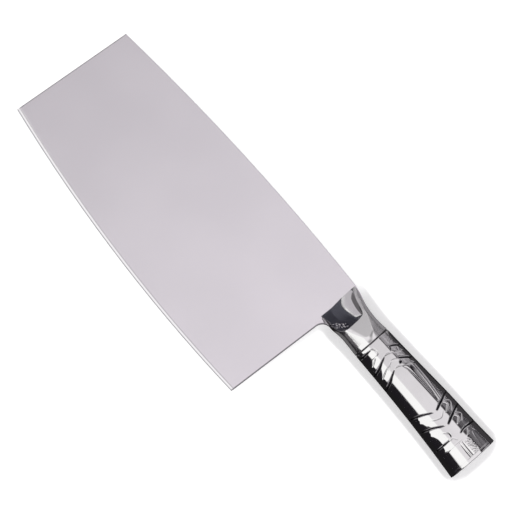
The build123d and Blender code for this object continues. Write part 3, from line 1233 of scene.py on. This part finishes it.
@dataclass(frozen=True)
class Ornament:
    """Bent leaves at both ends of the grip and a plain panel between them."""

    grip: GripSizes
    leaves: tuple[Leaf, ...] = (
        # neck end
        leaf((0, 0), (0, -7.9), (2.2, -7.9), (2.8, -6.4), (3.1, -3.4), (3.1, 0)),
        leaf((7.6, 0), (8.2, -6.4), (10, -7.7), (11.6, -9), (12.1, -8.1), (13.8, -8.1), (13.6, -6.6),
             (12.2, -3.2), (11.1, 0)),
        leaf((11.7, 0), (13.4, -3.2), (15, -5.5), (18, -7.2), (20.7, -9.2), (21.3, -8.1), (23.7, -8.1),
             (23.4, -6.4), (22.2, -3.6), (20.8, -0.6)),
        # butt end
        leaf((54.6, 0), (52.5, -4), (50.9, -7.2), (50.4, -8.6), (53.2, -9), (54.3, -9.7), (55.8, -8.6),
             (58, -8), (58.8, -7), (60.4, -6.4), (61.9, -3.6), (63.8, 0)),
        leaf((64.8, 0), (62.8, -3.8), (61.3, -6.8), (60.7, -8.7), (62.6, -9), (64, -9.8), (65.6, -8.8),
             (68, -7.9), (72.1, -7.8), (72.1, 0)),
        leaf((73, 0), (73, -8.6), (75.2, -9), (76.1, -9.9), (76.9, -8.3), (77.2, -7.6), (77.2, 0)),
    )
    # lines cut deep, whose bottoms are painted near black as their shade
    cuts: tuple[Stroke, ...] = (
        cut((0.7, 12.2, 0.7), (0.6, 10, 0.9), (0.5, 7.5, 0.5)),
        cut((8.2, 6.2, 0.6), (8.9, 7.4, 1.3), (9.9, 9.2, 1.6), (11.8, 11.6, 1.4)),
        cut((16.6, 5.6, 0.6), (17.4, 6.7, 1.3), (18.3, 7.9, 1.5), (19.8, 10, 1.6), (21.6, 12.1, 1.4)),
        cut((9.2, 6.6, 0.9), (10.2, 6.2, 0.9), (11.4, 5.4, 0.3)),
        cut((19.4, 6.6, 0.6), (19.6, 5.7, 1.8), (20.3, 4.9, 0.9)),
        cut((11.4, 0.1, 0.6), (12.2, -1.6, 1.1), (13.1, -3.5, 1.3), (14.1, -5.3, 1.6), (15.1, -7.6, 1.8),
            (16.2, -11, 1.8)),
        cut((20.9, -0.5, 0.6), (21.9, -2.2, 1.1), (22.9, -4, 1.3), (23.9, -5.6, 1.6), (25.2, -7.9, 1.8),
            (26.6, -11.4, 1.8)),
        cut((3.3, -3.4, 0.5), (3.3, -5.2, 1.1), (3.4, -7.4, 1.4), (3.5, -10.8, 1.4)),
        cut((50.2, 14.4, 1.2), (50.9, 11.9, 1.5), (51.8, 9.6, 1.6), (52.8, 6.8, 1.7), (54.3, 3.1, 1.3)),
        cut((60, 14.4, 1.2), (60.9, 11.9, 1.5), (61.9, 9.2, 1.6), (63.2, 6, 1.7), (64.7, 2.8, 1.3)),
        cut((73.4, 14.4, 1.4), (72.9, 11.2, 1.5), (72.6, 8.2, 1.4), (73.3, 4.9, 1.1)),
        cut((54.2, 0.2, 0.5), (53.2, -1.6, 1), (52.1, -3.8, 1.2), (51, -6.2, 1.4), (50, -9, 1.4),
            (49.2, -12.2, 1.3)),
        cut((64.3, 0.2, 0.5), (63.2, -1.6, 1), (61.9, -4, 1.2), (60.8, -6.4, 1.4), (59.8, -9.2, 1.4),
            (58.9, -12.4, 1.3)),
        cut((72.5, -3.7, 0.6), (72.5, -6, 1.1), (72.6, -9, 1.2), (72.7, -13, 1.2)),
        cut((68.2, -1.8, 0.4), (69.1, -1, 0.9), (70.1, -0.8, 1), (71, -1, 0.9), (71.8, -1.6, 0.4)),
    )
    panel_edge: Stroke = Stroke(
        ((23.6, 5.3, 0.6), (26, 6.4, 1.1), (30.5, 7.1, 1.2), (38, 7.5, 1.2), (46, 7.8, 1.1),
         (50.4, 7.5, 1.1)), slope=0.75, lean=5.0,
    )
    # shallow lines, which show grey, and raised lines with a slope below 0, which catch the light
    lines: tuple[Stroke, ...] = (
        soft(0.20, (10.9, 0.8, 1), (11.2, 3.4, 1.4), (12.3, 5.6, 1.4), (13.7, 7.8, 1.4), (14.9, 9.8, 1)),
        soft(0.20, (20.4, 1.2, 0.8), (20.8, 3.4, 1.3), (22.1, 5.7, 1.4), (23.3, 7.8, 1.4), (24.4, 9.8, 1)),
        soft(0.36, (3.2, -2.8, 0.6), (4, -1.5, 1), (5.6, -1, 1.1), (7.1, -1.3, 1.1), (8, -2.3, 0.7)),
        soft(0.26, (8.2, -3.6, 0.5), (9.6, -5.6, 1), (11.4, -8.2, 0.9)),
        soft(0.26, (16, 1.2, 0.5), (16.9, -0.8, 0.8), (17.9, -3.8, 0.9), (19, -6, 1.2), (20.4, -8.4, 1.1)),
        soft(0.20, (17.3, -0.6, 0.5), (18.6, -2.8, 0.8)),
        soft(0.22, (57, 5.4, 0.5), (58.8, 3.2, 0.8), (59.3, 1.4, 0.9), (58.2, -1.6, 0.8), (56.6, -4.4, 0.7)),
        soft(0.24, (68.3, -1.7, 0.5), (67.2, -3, 0.7), (66.4, -4.6, 0.5)),
        soft(0.18, (72.4, -1, 0.5), (73.8, -0.1, 0.9), (75.2, 0.6, 0.5)),
        soft(0.22, (71.6, -2, 0.4), (72.4, -3.4, 0.6)),
        soft(0.14, (76.7, 2.6, 0.4), (76.6, -2, 0.6), (76.4, -7.4, 0.6)),
        soft(0.25, (12, 9.5, 0.9), (13.2, 9.3, 0.9), (14.3, 9.1, 0.5)),
        Stroke(((78, 2.1, 0.9), (84, 2, 1.7), (90, 2, 1.7)), slope=0.42),
        Stroke(((77.8, 0.2, 0.9), (84, 0.1, 1.7), (90, 0.1, 1.7)), slope=0.50),
        soft(-0.30, (52.2, 10.2, 0.7), (54.4, 12.1, 0.9), (56.1, 12.5, 0.9), (58, 11.5, 0.9),
             (60.4, 9.3, 0.6)),
        soft(-0.30, (62.3, 10.4, 0.7), (64.2, 12.2, 0.9), (65.6, 12.6, 0.9), (67.2, 11.5, 0.9),
             (68.6, 10, 0.6)),
        soft(-0.28, (53.6, 9.1, 1.4), (55.9, 10.4, 2.4), (57.6, 8.9, 2.2), (58.6, 7, 1.2), (59.2, 5.6, 0.6)),
        soft(-0.28, (63.4, 9, 1.4), (65.6, 10.2, 2.2), (67.3, 8.8, 2), (68.2, 7, 1)),
        soft(-0.35, (73.8, 11, 0.5), (75.8, 11.6, 0.8), (77.6, 12.2, 0.5)),
        soft(-0.30, (74.6, 9.2, 1), (76.2, 8.4, 1.6), (76.9, 7, 0.9), (76.9, 6, 0.4)),
        soft(-0.16, (77.6, 10.4, 0.5), (80, 9.8, 0.8), (84, 9.6, 0.8), (89.5, 9.8, 0.6)),
        soft(-0.30, (25.4, 10, 0.5), (31, 9.9, 0.8), (38, 9.6, 0.8), (46, 9, 0.8), (51, 8.4, 0.6)),
        soft(-0.30, (26, 11.3, 0.5), (31, 11.2, 0.8), (38, 11, 0.8), (46, 10.1, 0.8), (50.8, 9.6, 0.6)),
        soft(-0.28, (15.7, 2, 0.5), (16.3, 3.8, 0.9), (17.4, 5.2, 0.9), (18.6, 6.2, 0.5)),
        soft(-0.25, (14.6, 7.2, 0.6), (16, 7.6, 0.9), (17.4, 8.8, 0.9), (18.2, 9.8, 0.6)),
        soft(-0.30, (11.6, 10.2, 0.5), (13.4, 10.4, 0.8), (15.4, 11.2, 0.6)),
        soft(-0.30, (21.4, 10.4, 0.5), (23.2, 10.8, 0.8), (25.4, 12.2, 0.6)),
    )
    # unevenness at both ends: its height, where along the grip and at which heights it begins and ends
    butt_mottle: float = 0.075
    butt_start: Pair = (77.5, 80.0)
    butt_low: Pair = (2.2, 4.0)
    butt_high: Pair = (6.2, 7.2)
    neck_mottle: float = 0.006
    neck_end: Pair = (9.0, 14.0)
    neck_low: Pair = (6.6, 8.0)
    outline_fade: Pair = (0.88, 0.97)

    def height(self, s: Array, y: Array) -> Array:
        """Height of the ornament above the plain oval.

        Args:
            s: distance from the joint of neck and grip.
            y: height above the grip's axis.

        Returns:
            The height in millimetres, 0 near the outline.
        """
        height = sum(leaf.relief(s, y, self.grip) for leaf in self.leaves)
        height = height + sum(stroke.relief(s, y) for stroke in (*self.cuts, self.panel_edge, *self.lines))
        middle, half_width, _ = self.grip.oval(s)
        share = np.abs(y - middle) / half_width
        return (height + self.mottle(s, y)) * (1 - smooth_step(share, *self.outline_fade))

    def cut_depth(self, s: Array, y: Array) -> Array:
        """How deep the cuts go at each place, in millimetres."""
        return -sum(cut.relief(s, y) for cut in self.cuts)

    def mottle(self, s: Array, y: Array) -> Array:
        """Unevenness that the polishing left near the butt and above the leaves at the neck end.

        Args:
            s: distances from the joint.
            y: heights above the grip's axis.

        Returns:
            The height in millimetres.
        """
        waves = np.sin(3.3 * s + 1.4 * np.sin(1.7 * y)) * np.sin(2.9 * y + 1.7 * np.sin(1.2 * s))
        waves = waves + 0.5 * np.sin(5.7 * s + 4.3 * y) * np.sin(2.1 * s - 5.1 * y)
        butt = smooth_step(s, *self.butt_start) * smooth_step(y, *self.butt_low)
        butt = butt * (1 - smooth_step(y, *self.butt_high))
        neck = (1 - smooth_step(s, *self.neck_end)) * smooth_step(y, *self.neck_low)
        return (self.butt_mottle * butt + self.neck_mottle * neck) * waves


@dataclass
class Grip:
    """The hollow grip: two half shells, their seams, the ring of weld and the cap."""

    sizes: GripSizes
    ornament: Ornament
    maker: Maker
    pitch: float = 0.22
    half_girth: float = 40.0
    coarse: int = 4
    seam_fade: float = 0.04
    dark_depth: float = 0.09
    # the ground welds: how proud their middle is, and how strong and close its waves are
    weld_rise: float = 0.02
    ripple: float = 0.35
    ring_ripples: float = 24.0
    seam_ripples: float = 5.5
    cap_points: int = 360
    # how far inside the cap's rounded rim its face has rings of points
    face_insets: Pair = (1.2, 4.0)

    def seam_angle(self, s: Array) -> Array:
        """Angle at which the half shell meets the seam weld."""
        return np.arcsin(self.sizes.seam_width / 2 / self.sizes.oval(s)[2])

    def shell(self, side: Side, finish: Material, cut_finish: Material) -> None:
        """Makes one half shell with its ornament.

        Args:
            side: which half.
            finish: its finish.
            cut_finish: finish of the bottoms of the cuts, painted near black as their shade.
        """
        sizes, step = self.sizes, self.coarse
        start, end = sizes.groove_width, sizes.ring_start
        rows, columns = (step * round(size / self.pitch / step) for size in (end - start, self.half_girth))
        rim = start + sizes.groove_round
        places = (*np.linspace(start, rim, step + 1)[:-1], *np.linspace(rim, end, rows + 1 - step))
        s, share = np.meshgrid(places, np.linspace(0, 1, columns + 1), indexing="ij")
        low = self.seam_angle(s)
        angle = low + (math.pi - 2 * low) * share
        outer = sizes.ring(s, angle, sizes.rim_round(s - start))
        _, half_width, half_depth = sizes.oval(s)
        normal = np.stack((0 * s, np.cos(angle) / half_width, np.sin(angle) / half_depth), axis=-1)
        normal /= np.linalg.norm(normal, axis=-1, keepdims=True)
        near_seam = smooth_step(np.minimum(share, 1 - share), 0.0, self.seam_fade)
        y = outer[..., 1]
        # bottoms of the deep cuts get painted shade
        dark = self.ornament.cut_depth(s, y) * near_seam > self.dark_depth
        outer = outer + normal * (self.ornament.height(s, y) * near_seam)[..., None]
        inner = sizes.ring(s[::step, ::step], angle[::step, ::step], sizes.wall)
        inner[..., 2] = np.maximum(inner[..., 2], sizes.seam_width / 2)
        points, faces = wall(outer, inner)
        points[:, 2] *= side.value
        finish_of = np.zeros(len(faces))
        finish_of[: rows * columns] = (dark[:-1, :-1] & dark[1:, 1:]).ravel()
        name = side.name.lower()
        finishes = [finish, cut_finish]
        self.maker.make(
            f"grip_half_{name}", points, faces, finishes, (f"grip_shell_{name}",),
            finish_of=finish_of, sharp_angle=50.0,
        )

    def band(self, node: str, s: Array, angles: Array, finish: Material, closed: bool = False) -> None:
        """Makes a strip or ring of ground weld in the tube's wall, its middle a hair proud.

        Args:
            node: the node that it stands for.
            s: distances from the joint, in order.
            angles: angles for each s, as rows. A full turn ends one step before its start.
            finish: its finish.
            closed: whether it is a full turn.
        """
        rows, columns = angles.shape
        s = np.repeat(s[:, None], columns, axis=1)
        across = np.linspace(0, math.pi, rows if closed else columns)
        ripple = 1 + self.ripple * np.sin(angles * self.ring_ripples if closed else s * self.seam_ripples)
        rise = self.weld_rise * np.sin(across[:, None] if closed else across) * ripple
        away = np.stack((0 * s, np.cos(angles), np.sin(angles)), axis=-1)
        outer = self.sizes.ring(s, angles, 0.0) + away * rise[..., None]
        points, faces = wall(outer, self.sizes.ring(s, angles, self.sizes.wall), closed)
        self.maker.make(f"{node}_ground", points, faces, [finish], (node,))

    def seams(self, finish: Material) -> None:
        """Makes the two ground seams between the half shells.

        Args:
            finish: finish of the weld.
        """
        s = np.linspace(self.sizes.groove_width, self.sizes.ring_start, 360)
        half = self.seam_angle(s)[:, None] * np.linspace(-1, 1, 7)[None, :]
        for node, turn in (("seam_weld_spine", 0.0), ("seam_weld_edge", math.pi)):
            self.band(node, s, turn + half, finish)

    def ring(self, finish: Material) -> None:
        """Makes the ring of weld in front of the cap.

        Args:
            finish: finish of the weld.
        """
        s = np.linspace(self.sizes.ring_start, self.sizes.cap_start, 7)
        angles = np.repeat(around(self.cap_points)[None, :], len(s), axis=0)
        self.band("butt_weld", s, angles, finish, closed=True)

    def cap(self, finish: Material, face_finish: Material) -> None:
        """Makes the cap with its rounded rim.

        Args:
            finish: finish of its rim.
            face_finish: finish of its flat face.
        """
        length, rim = self.sizes.length, self.sizes.rim_break
        angle = around(self.cap_points)
        spots = [(self.sizes.cap_start, 0.0)]
        for turn in np.linspace(0, math.pi / 2, 6):
            spots.append((length - rim + rim * math.sin(turn), rim * (1 - math.cos(turn))))
        spots += [(length, rim + inset) for inset in self.face_insets]
        rings = [self.sizes.ring(np.full_like(angle, s), angle, inset) for s, inset in spots]
        faces = rod_faces(len(rings), self.cap_points)
        finish_of = np.zeros(len(faces))
        finish_of[(len(rings) - 3) * self.cap_points : -2] = finish_of[-1] = 1
        finishes = [finish, face_finish]
        points = np.concatenate(rings)
        self.maker.make("butt_plate", points, faces, finishes, ("butt_cap",), finish_of=finish_of)


@dataclass
class Welds:
    """The visible beads: round the joint of neck and grip, at the shoulder and above the heel."""

    shape: NeckShape
    maker: Maker
    heel_x: float = -23.0
    heel_length: float = 6.5
    heel_radius: float = 0.96
    heel_flatness: float = 0.85
    least_radius: float = 0.05
    drop: float = 11.9
    # waves along the heel beads, as height and closeness: coarse, fine, round them and sideways
    coarse_wave: Pair = (0.10, 46.0)
    fine_wave: Pair = (0.06, 17.0)
    round_wave: Pair = (0.05, 11.0)
    side_wave: Pair = (0.16, 9.0)
    joint_wave: float = 0.06
    joint_waves: int = 70
    overlap: float = 0.2
    shoulder_width: float = 0.8
    shoulder_angle: float = 0.95
    shoulder_proud: float = 0.006
    shoulder_depth: float = 2.0

    def joint(self, finish: Material) -> None:
        """Makes the ring of weld at the bottom of the groove.

        Args:
            finish: finish of the weld.
        """
        grip = self.shape.grip
        s, angle = np.meshgrid(np.linspace(0, grip.groove_width, 9), around(420), indexing="ij")
        ripple = self.joint_wave * np.sin(angle * self.joint_waves) * np.sin(math.pi * s / grip.groove_width)
        outer = grip.ring(0 * s, angle, grip.groove_depth - ripple)
        inner = grip.ring(0 * s, angle, grip.wall + self.overlap)
        outer[..., 0] = inner[..., 0] = s
        points, faces = wall(outer, inner, closed=True)
        self.maker.make("neck_weld_bead", points, faces, [finish], ("neck_weld",), Slot.BEAD)

    def heel(self, finish: Material) -> None:
        """Makes the two short beads above the heel, with their ripples.

        Args:
            finish: finish of the weld.
        """
        rows, columns = 44, 28
        t, angle = np.meshgrid(np.linspace(0, 1, rows), around(columns), indexing="ij")
        end = np.sqrt(np.maximum(1 - np.abs(2 * t - 1) ** 5, 0.0))
        (coarse, often), (fine, seldom) = self.coarse_wave, self.fine_wave
        (bump, turn), (side, sway) = self.round_wave, self.side_wave
        ripple = 1 + coarse * np.sin(often * t) + fine * np.sin(seldom * t + 1)
        radius = np.maximum(self.heel_radius * end * ripple, self.least_radius)
        radius = radius * (1 + bump * np.sin(3 * angle + turn * t))
        x = self.heel_x - self.heel_length * (1 - t)
        y = -self.drop + side * np.sin(sway * t) + radius * np.cos(angle)
        z = radius * np.sin(angle) * self.heel_flatness
        face = self.shape.blade.half_thickness(-self.drop)
        beads = [np.stack((x, y, z + half.value * face), axis=-1).reshape(-1, 3) for half in Side]
        faces = rod_faces(rows, columns) + rod_faces(rows, columns, rows * columns)
        self.maker.make("heel_weld_beads", np.concatenate(beads), faces, [finish], ("heel_welds",), Slot.BEAD)

    def shoulder(self, finish: Material) -> None:
        """Makes the ground weld at the blade's shoulder, a hair proud of the neck.

        Args:
            finish: finish of the weld.
        """
        shape = self.shape
        angle = np.linspace(-self.shoulder_angle, self.shoulder_angle, 81)
        rings = []
        for share in np.linspace(0, 1, 7):
            x = shape.plate_end + self.shoulder_width * share
            middle, y, z = shape.section(x, angle)
            proud = 1 + self.shoulder_proud * math.sin(math.pi * share)
            y = middle + (y - middle) * proud
            rings.append(np.stack((np.full_like(y, x), y, z * np.sign(angle) * proud), axis=1))
        outer = np.array(rings)
        inner = outer * np.array((1, 1, 0.75))
        inner[..., 1] = np.minimum(inner[..., 1] - self.shoulder_depth, shape.rises[2] - 3.0)
        points, faces = wall(outer, inner)
        self.maker.make("shoulder_weld_ground", points, faces, [finish], ("shoulder_weld",))


# Studio


@dataclass(frozen=True)
class Card:
    """A patch of the surroundings, as a soft-edged box in the plane of directions.

    x and y are those of the unit direction towards it; spread is its half size.
    """

    middle: Pair
    spread: Pair
    soft: Pair
    colour: Triple

    def share(self, graph: Graph, direction: Socket) -> Socket:
        """How much of the card shows in a direction, from 0 to 1.

        Args:
            graph: node tree of the material.
            direction: socket of the directions.

        Returns:
            The socket of the share.
        """
        parts = []
        for off, middle, spread, soft in zip(graph.axes(direction), self.middle, self.spread, self.soft):
            away = graph.math("ABSOLUTE", graph.math("SUBTRACT", off, middle))
            parts.append(graph.ramp(away, spread + soft, spread - soft))
        return graph.math("MULTIPLY", *parts)


@dataclass
class Studio:
    """White table, a tent of pale and dark panels, flags beside the knife, and the camera."""

    joint: Pair
    table_size: float = 6.0
    tent_radius: float = 40.0
    view_centre: Pair = (-0.0079, 0.0147)
    view_width: float = 0.2995
    view_distance: float = 1.8
    view_right: Pair = (0.6587, 0.7524)
    sensor: float = 36.0
    object_height: float = 0.006
    dark: Triple = (0.018, 0.016, 0.020)
    cards: tuple[Card, ...] = (
        # pale ends, which the knife shows when it is seen from its back or its ends
        Card((0.78, 0.0), (0.32, 1.10), (0.10, 0.10), (0.60, 0.58, 0.61)),
        Card((-0.80, 0.76), (0.34, 0.30), (0.10, 0.10), (0.60, 0.58, 0.61)),
        # upper side: dark wall, which is paler and reaches lower towards the front, above a black gap
        Card((0.08, 0.92), (0.30, 0.135), (0.02, 0.02), (0.085, 0.08, 0.09)),
        Card((0.00, 0.895), (0.20, 0.022), (0.02, 0.014), (0.24, 0.23, 0.245)),
        Card((-0.118, 0.88), (0.082, 0.17), (0.012, 0.02), (0.33, 0.315, 0.335)),
        Card((-0.128, 0.83), (0.072, 0.19), (0.012, 0.02), (0.46, 0.44, 0.465)),
        Card((-0.128, 0.84), (0.066, 0.050), (0.010, 0.03), (0.70, 0.67, 0.71)),
        Card((-0.10, 0.955), (0.07, 0.022), (0.03, 0.012), (0.50, 0.48, 0.51)),
        # upper front and upper back, which the neck's flank shows
        Card((-0.305, 0.77), (0.155, 0.27), (0.025, 0.03), (0.66, 0.635, 0.665)),
        Card((-0.58, 0.36), (0.20, 0.15), (0.03, 0.03), (0.62, 0.595, 0.625)),
        Card((0.168, 0.845), (0.105, 0.185), (0.02, 0.03), (0.58, 0.56, 0.585)),
        # overhead: lilac-grey, darker towards the front
        Card((-0.05, 0.155), (0.36, 0.425), (0.12, 0.03), (1.20, 1.165, 1.20)),
        Card((-0.42, 0.155), (0.28, 0.40), (0.14, 0.05), (0.48, 0.47, 0.48)),
        # lower side: white softbox, and grey below it towards the back
        Card((-0.035, -0.50), (0.285, 0.235), (0.05, 0.03), (1.45, 1.45, 1.44)),
        Card((0.17, -0.80), (0.11, 0.18), (0.02, 0.04), (0.19, 0.18, 0.19)),
        # lower front, which the neck's lower flank shows
        Card((-0.45, -0.80), (0.30, 0.14), (0.10, 0.04), (0.15, 0.145, 0.155)),
        # front: dark wall with one pale strip between a white and a black line
        Card((-0.74, -0.55), (0.32, 0.31), (0.06, 0.03), (0.19, 0.18, 0.19)),
        Card((-0.74, -0.175), (0.32, 0.065), (0.06, 0.015), (0.72, 0.69, 0.73)),
        Card((-0.74, 0.055), (0.32, 0.15), (0.06, 0.01), (0.048, 0.048, 0.062)),
        Card((-0.74, -0.04), (0.32, 0.055), (0.06, 0.03), (0.105, 0.105, 0.13)),
        Card((-0.74, -0.114), (0.32, 0.0075), (0.06, 0.004), (1.5, 1.5, 1.5)),
        Card((-0.74, -0.090), (0.32, 0.010), (0.06, 0.006), (0.012, 0.012, 0.014)),
    )
    # the flags are black beside the knife and dark grey beyond; the two grey patches beside the
    # neck are placed in millimetres from the joint
    flags_low: Pair = (-2.9, -2.9)
    flags_high: Pair = (2.9, 1.6)
    flags_height: float = 0.00005
    black_end: Pair = (0.056, 0.066)
    flags_grey: float = 0.065
    flags_tone: Triple = (1.0, 0.94, 1.02)
    neck_patches: tuple[Card, ...] = (
        Card((-16.5, 69.0), (18.0, 51.0), (1.5, 1.0), (0.40, 0.385, 0.405)),
        Card((-9.0, -69.0), (9.0, 51.0), (1.5, 1.0), (0.20, 0.195, 0.20)),
    )
    # the table's own glow, and the painted shadow beside the grip: how far and how much the glow is darkened
    # there
    cloth: float = 0.60
    glow: float = 0.86
    painted_shadow_reach: float = 0.009
    painted_shadow_start: Pair = (0.040, 0.055)
    painted_shadow_edge: Pair = (0.90, 0.97)
    painted_shadow_share: float = 0.60

    def camera(self) -> None:
        """Puts the camera straight above, turned as the photograph has it."""
        data = bpy.data.cameras.new("camera")
        data.sensor_width = self.sensor
        data.lens = self.sensor * (self.view_distance - self.object_height) / self.view_width
        data.clip_end = 20.0
        camera = bpy.data.objects.new("camera", data)
        right = Vector((*self.view_right, 0)).normalized()
        turn = Matrix((right, Vector((-right.y, right.x, 0)), Vector((0, 0, 1)))).transposed()
        camera.matrix_world = Matrix.Translation((*self.view_centre, self.view_distance)) @ turn.to_4x4()
        bpy.context.scene.collection.objects.link(camera)
        bpy.context.scene.camera = camera

    def backdrop(self) -> None:
        """Makes the plain white world."""
        world = bpy.data.worlds.new("backdrop")
        bpy.context.scene.world = world
        graph = Graph(world)
        white = graph.add("Background", _Color=WHITE, _Strength=1.0)
        graph.add("OutputWorld", _Surface=white.outputs[0])

    def stand(self, name: str, mesh: bpy.types.Mesh, material: Material) -> bpy.types.Object:
        """Puts a mesh with its material on the stage.

        Args:
            name: name of the object.
            mesh: its mesh.
            material: its material.

        Returns:
            The object.
        """
        mesh.materials.append(material)
        thing = bpy.data.objects.new(name, mesh)
        bpy.context.scene.collection.objects.link(thing)
        return thing

    def sheet(self, name: str, low: Pair, high: Pair, z: float) -> bpy.types.Mesh:
        """A flat rectangle at the height z.

        Args:
            name: name of the mesh.
            low: its lower corner in x and y.
            high: its upper corner.
            z: its height.

        Returns:
            The mesh.
        """
        mesh = bpy.data.meshes.new(name)
        corners = [(low[0], low[1], z), (high[0], low[1], z), (high[0], high[1], z), (low[0], high[1], z)]
        mesh.from_pydata(corners, [], [(0, 1, 2, 3)])
        return mesh

    def paint_tent(self, graph: Graph) -> Socket:
        """The tent's panels by the direction in which they hang.

        Args:
            graph: node tree of the material.

        Returns:
            The socket of the colour.
        """
        direction = graph.add("VectorMath", operation="NORMALIZE", _0=graph.spots()).outputs["Vector"]
        colour: object = self.dark
        for card in self.cards:
            colour = graph.mix(card.share(graph, direction), colour, card.colour)
        return colour

    def tent(self) -> None:
        """Makes the tent, which lights the knife and shows in its polish, but not to the camera."""
        mesh = bpy.data.meshes.new("tent")
        work = bmesh.new()
        bmesh.ops.create_uvsphere(work, u_segments=64, v_segments=32, radius=self.tent_radius)
        work.to_mesh(mesh)
        work.free()
        material = glowing("tent_panels", self.paint_tent)
        material.cycles.emission_sampling = "NONE"
        self.stand("tent", mesh, material).visible_camera = False

    def table(self) -> None:
        """Makes the white table, which keeps the knife's shadow, and whose glow is darkened beside the grip
        as a painted shadow.
        """
        material = bpy.data.materials.new("white_card")
        graph = Graph(material)
        # painted shadow: the table's glow is darkened by ambient occlusion beside the grip
        corner = graph.add("AmbientOcclusion", samples=32, _Distance=self.painted_shadow_reach)
        beside_grip = graph.ramp(graph.axes(graph.spots())[0], *self.painted_shadow_start)
        painted_shadow = graph.ramp(corner.outputs["AO"], *self.painted_shadow_edge, self.painted_shadow_share - 1, 0.0)
        open_share = graph.math("MULTIPLY_ADD", beside_grip, painted_shadow, 1.0)
        path = graph.add("LightPath").outputs
        mirrored = graph.math("MAXIMUM", path["Is Glossy Ray"], path["Is Transmission Ray"])
        seen = graph.math("MAXIMUM", path["Is Camera Ray"], mirrored)
        strength = graph.math("MULTIPLY", graph.math("MULTIPLY", open_share, self.glow), seen)
        cloth = graph.add("BsdfDiffuse", _Color=(self.cloth, self.cloth, self.cloth, 1.0))
        glow = graph.add("Emission", _Color=WHITE, _Strength=strength)
        both = graph.add("AddShader", _0=cloth.outputs[0], _1=glow.outputs[0])
        graph.add("OutputMaterial", _Surface=both.outputs[0])
        half = self.table_size / 2
        self.stand("table", self.sheet("table", (-half, -half), (half, half), 0.0), material)

    def paint_flags(self, graph: Graph) -> Socket:
        """Black beside the knife, dark grey beyond its spine, and the two patches.

        Args:
            graph: node tree of the material.

        Returns:
            The socket of the colour.
        """
        places = graph.spots()
        shade = graph.ramp(graph.axes(places)[1], *self.black_end, self.dark[0], self.flags_grey)
        colour = graph.mix(shade, (0.0, 0.0, 0.0), self.flags_tone)
        joint = tuple(-number / MM for number in (*self.joint, 0.0))
        scale = (1 / MM,) * 3
        in_knife = graph.add("Mapping", vector_type="POINT", _Vector=places, _Location=joint, _Scale=scale)
        for patch in self.neck_patches:
            colour = graph.mix(patch.share(graph, in_knife.outputs[0]), colour, patch.colour)
        return colour

    def flags(self) -> None:
        """Makes the dark flags on the table, which only the polished steel shows."""
        mesh = self.sheet("flags", self.flags_low, self.flags_high, self.flags_height)
        flags = self.stand("flags", mesh, glowing("flag_felt", self.paint_flags))
        flags.visible_camera = False
        flags.visible_diffuse = False
        flags.visible_shadow = False
        flags.visible_transmission = False

    def build(self) -> None:
        """Makes everything round the knife."""
        self.camera()
        self.backdrop()
        self.tent()
        self.table()
        self.flags()
        bpy.context.scene.view_settings.view_transform = "Standard"
        log.info("made studio")


def main() -> None:
    """Builds the knife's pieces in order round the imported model."""
    logging.basicConfig(level=logging.INFO, format="%(message)s")
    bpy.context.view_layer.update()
    blade_sizes = BladeSizes()
    grip_sizes = GripSizes()
    knife = KnifeFrame(blade_sizes, grip_sizes)
    maker = Maker(knife)
    Studio(knife.spot()).build()
    satin = Blade(blade_sizes, maker).dress()
    mirror = MirrorSteel("mirror_polish").build()
    pitted_with_glints = PittedSteelPaintedGlints("pitted_corner_painted_glints").build()
    bead = BeadSteel("raw_bead").build()
    # the bead at the bottom of the groove between neck and grip is coloured near black: painted shade of the
    # groove
    shade_painted_groove_bead = BeadSteel("shade_painted_groove_bead", (0.13, 0.12, 0.13), (0.05, 0.05, 0.05)).build()
    ground = MirrorSteel("ground_weld", roughness=0.12, hair_depth=0.0012).build()
    faced = TurnedSteel("faced_butt").build()
    # painted shade for the bottoms of the deep cuts: near black
    cut_shade_paint = Steel("cut_painted_shade", (0.03, 0.03, 0.035), (0.06, 0.055, 0.06), roughness=0.35).build()
    shape = NeckShape(blade_sizes, grip_sizes)
    neck = Neck(shape, maker)
    flank_start, drawn_start = knife.spot(neck.flank_start), knife.spot(neck.drawn_start)
    buffed = NeckSteel("neck_polish", flank_start=flank_start, drawn_start=drawn_start).build()
    neck.build(buffed, satin, pitted_with_glints)
    grip = Grip(grip_sizes, Ornament(grip_sizes), maker)
    for side in Side:
        grip.shell(side, mirror, cut_shade_paint)
    grip.seams(ground)
    grip.ring(ground)
    grip.cap(mirror, faced)
    welds = Welds(shape, maker)
    welds.joint(shade_painted_groove_bead)
    welds.heel(bead)
    welds.shoulder(ground)


if __name__ == "__main__":
    main()
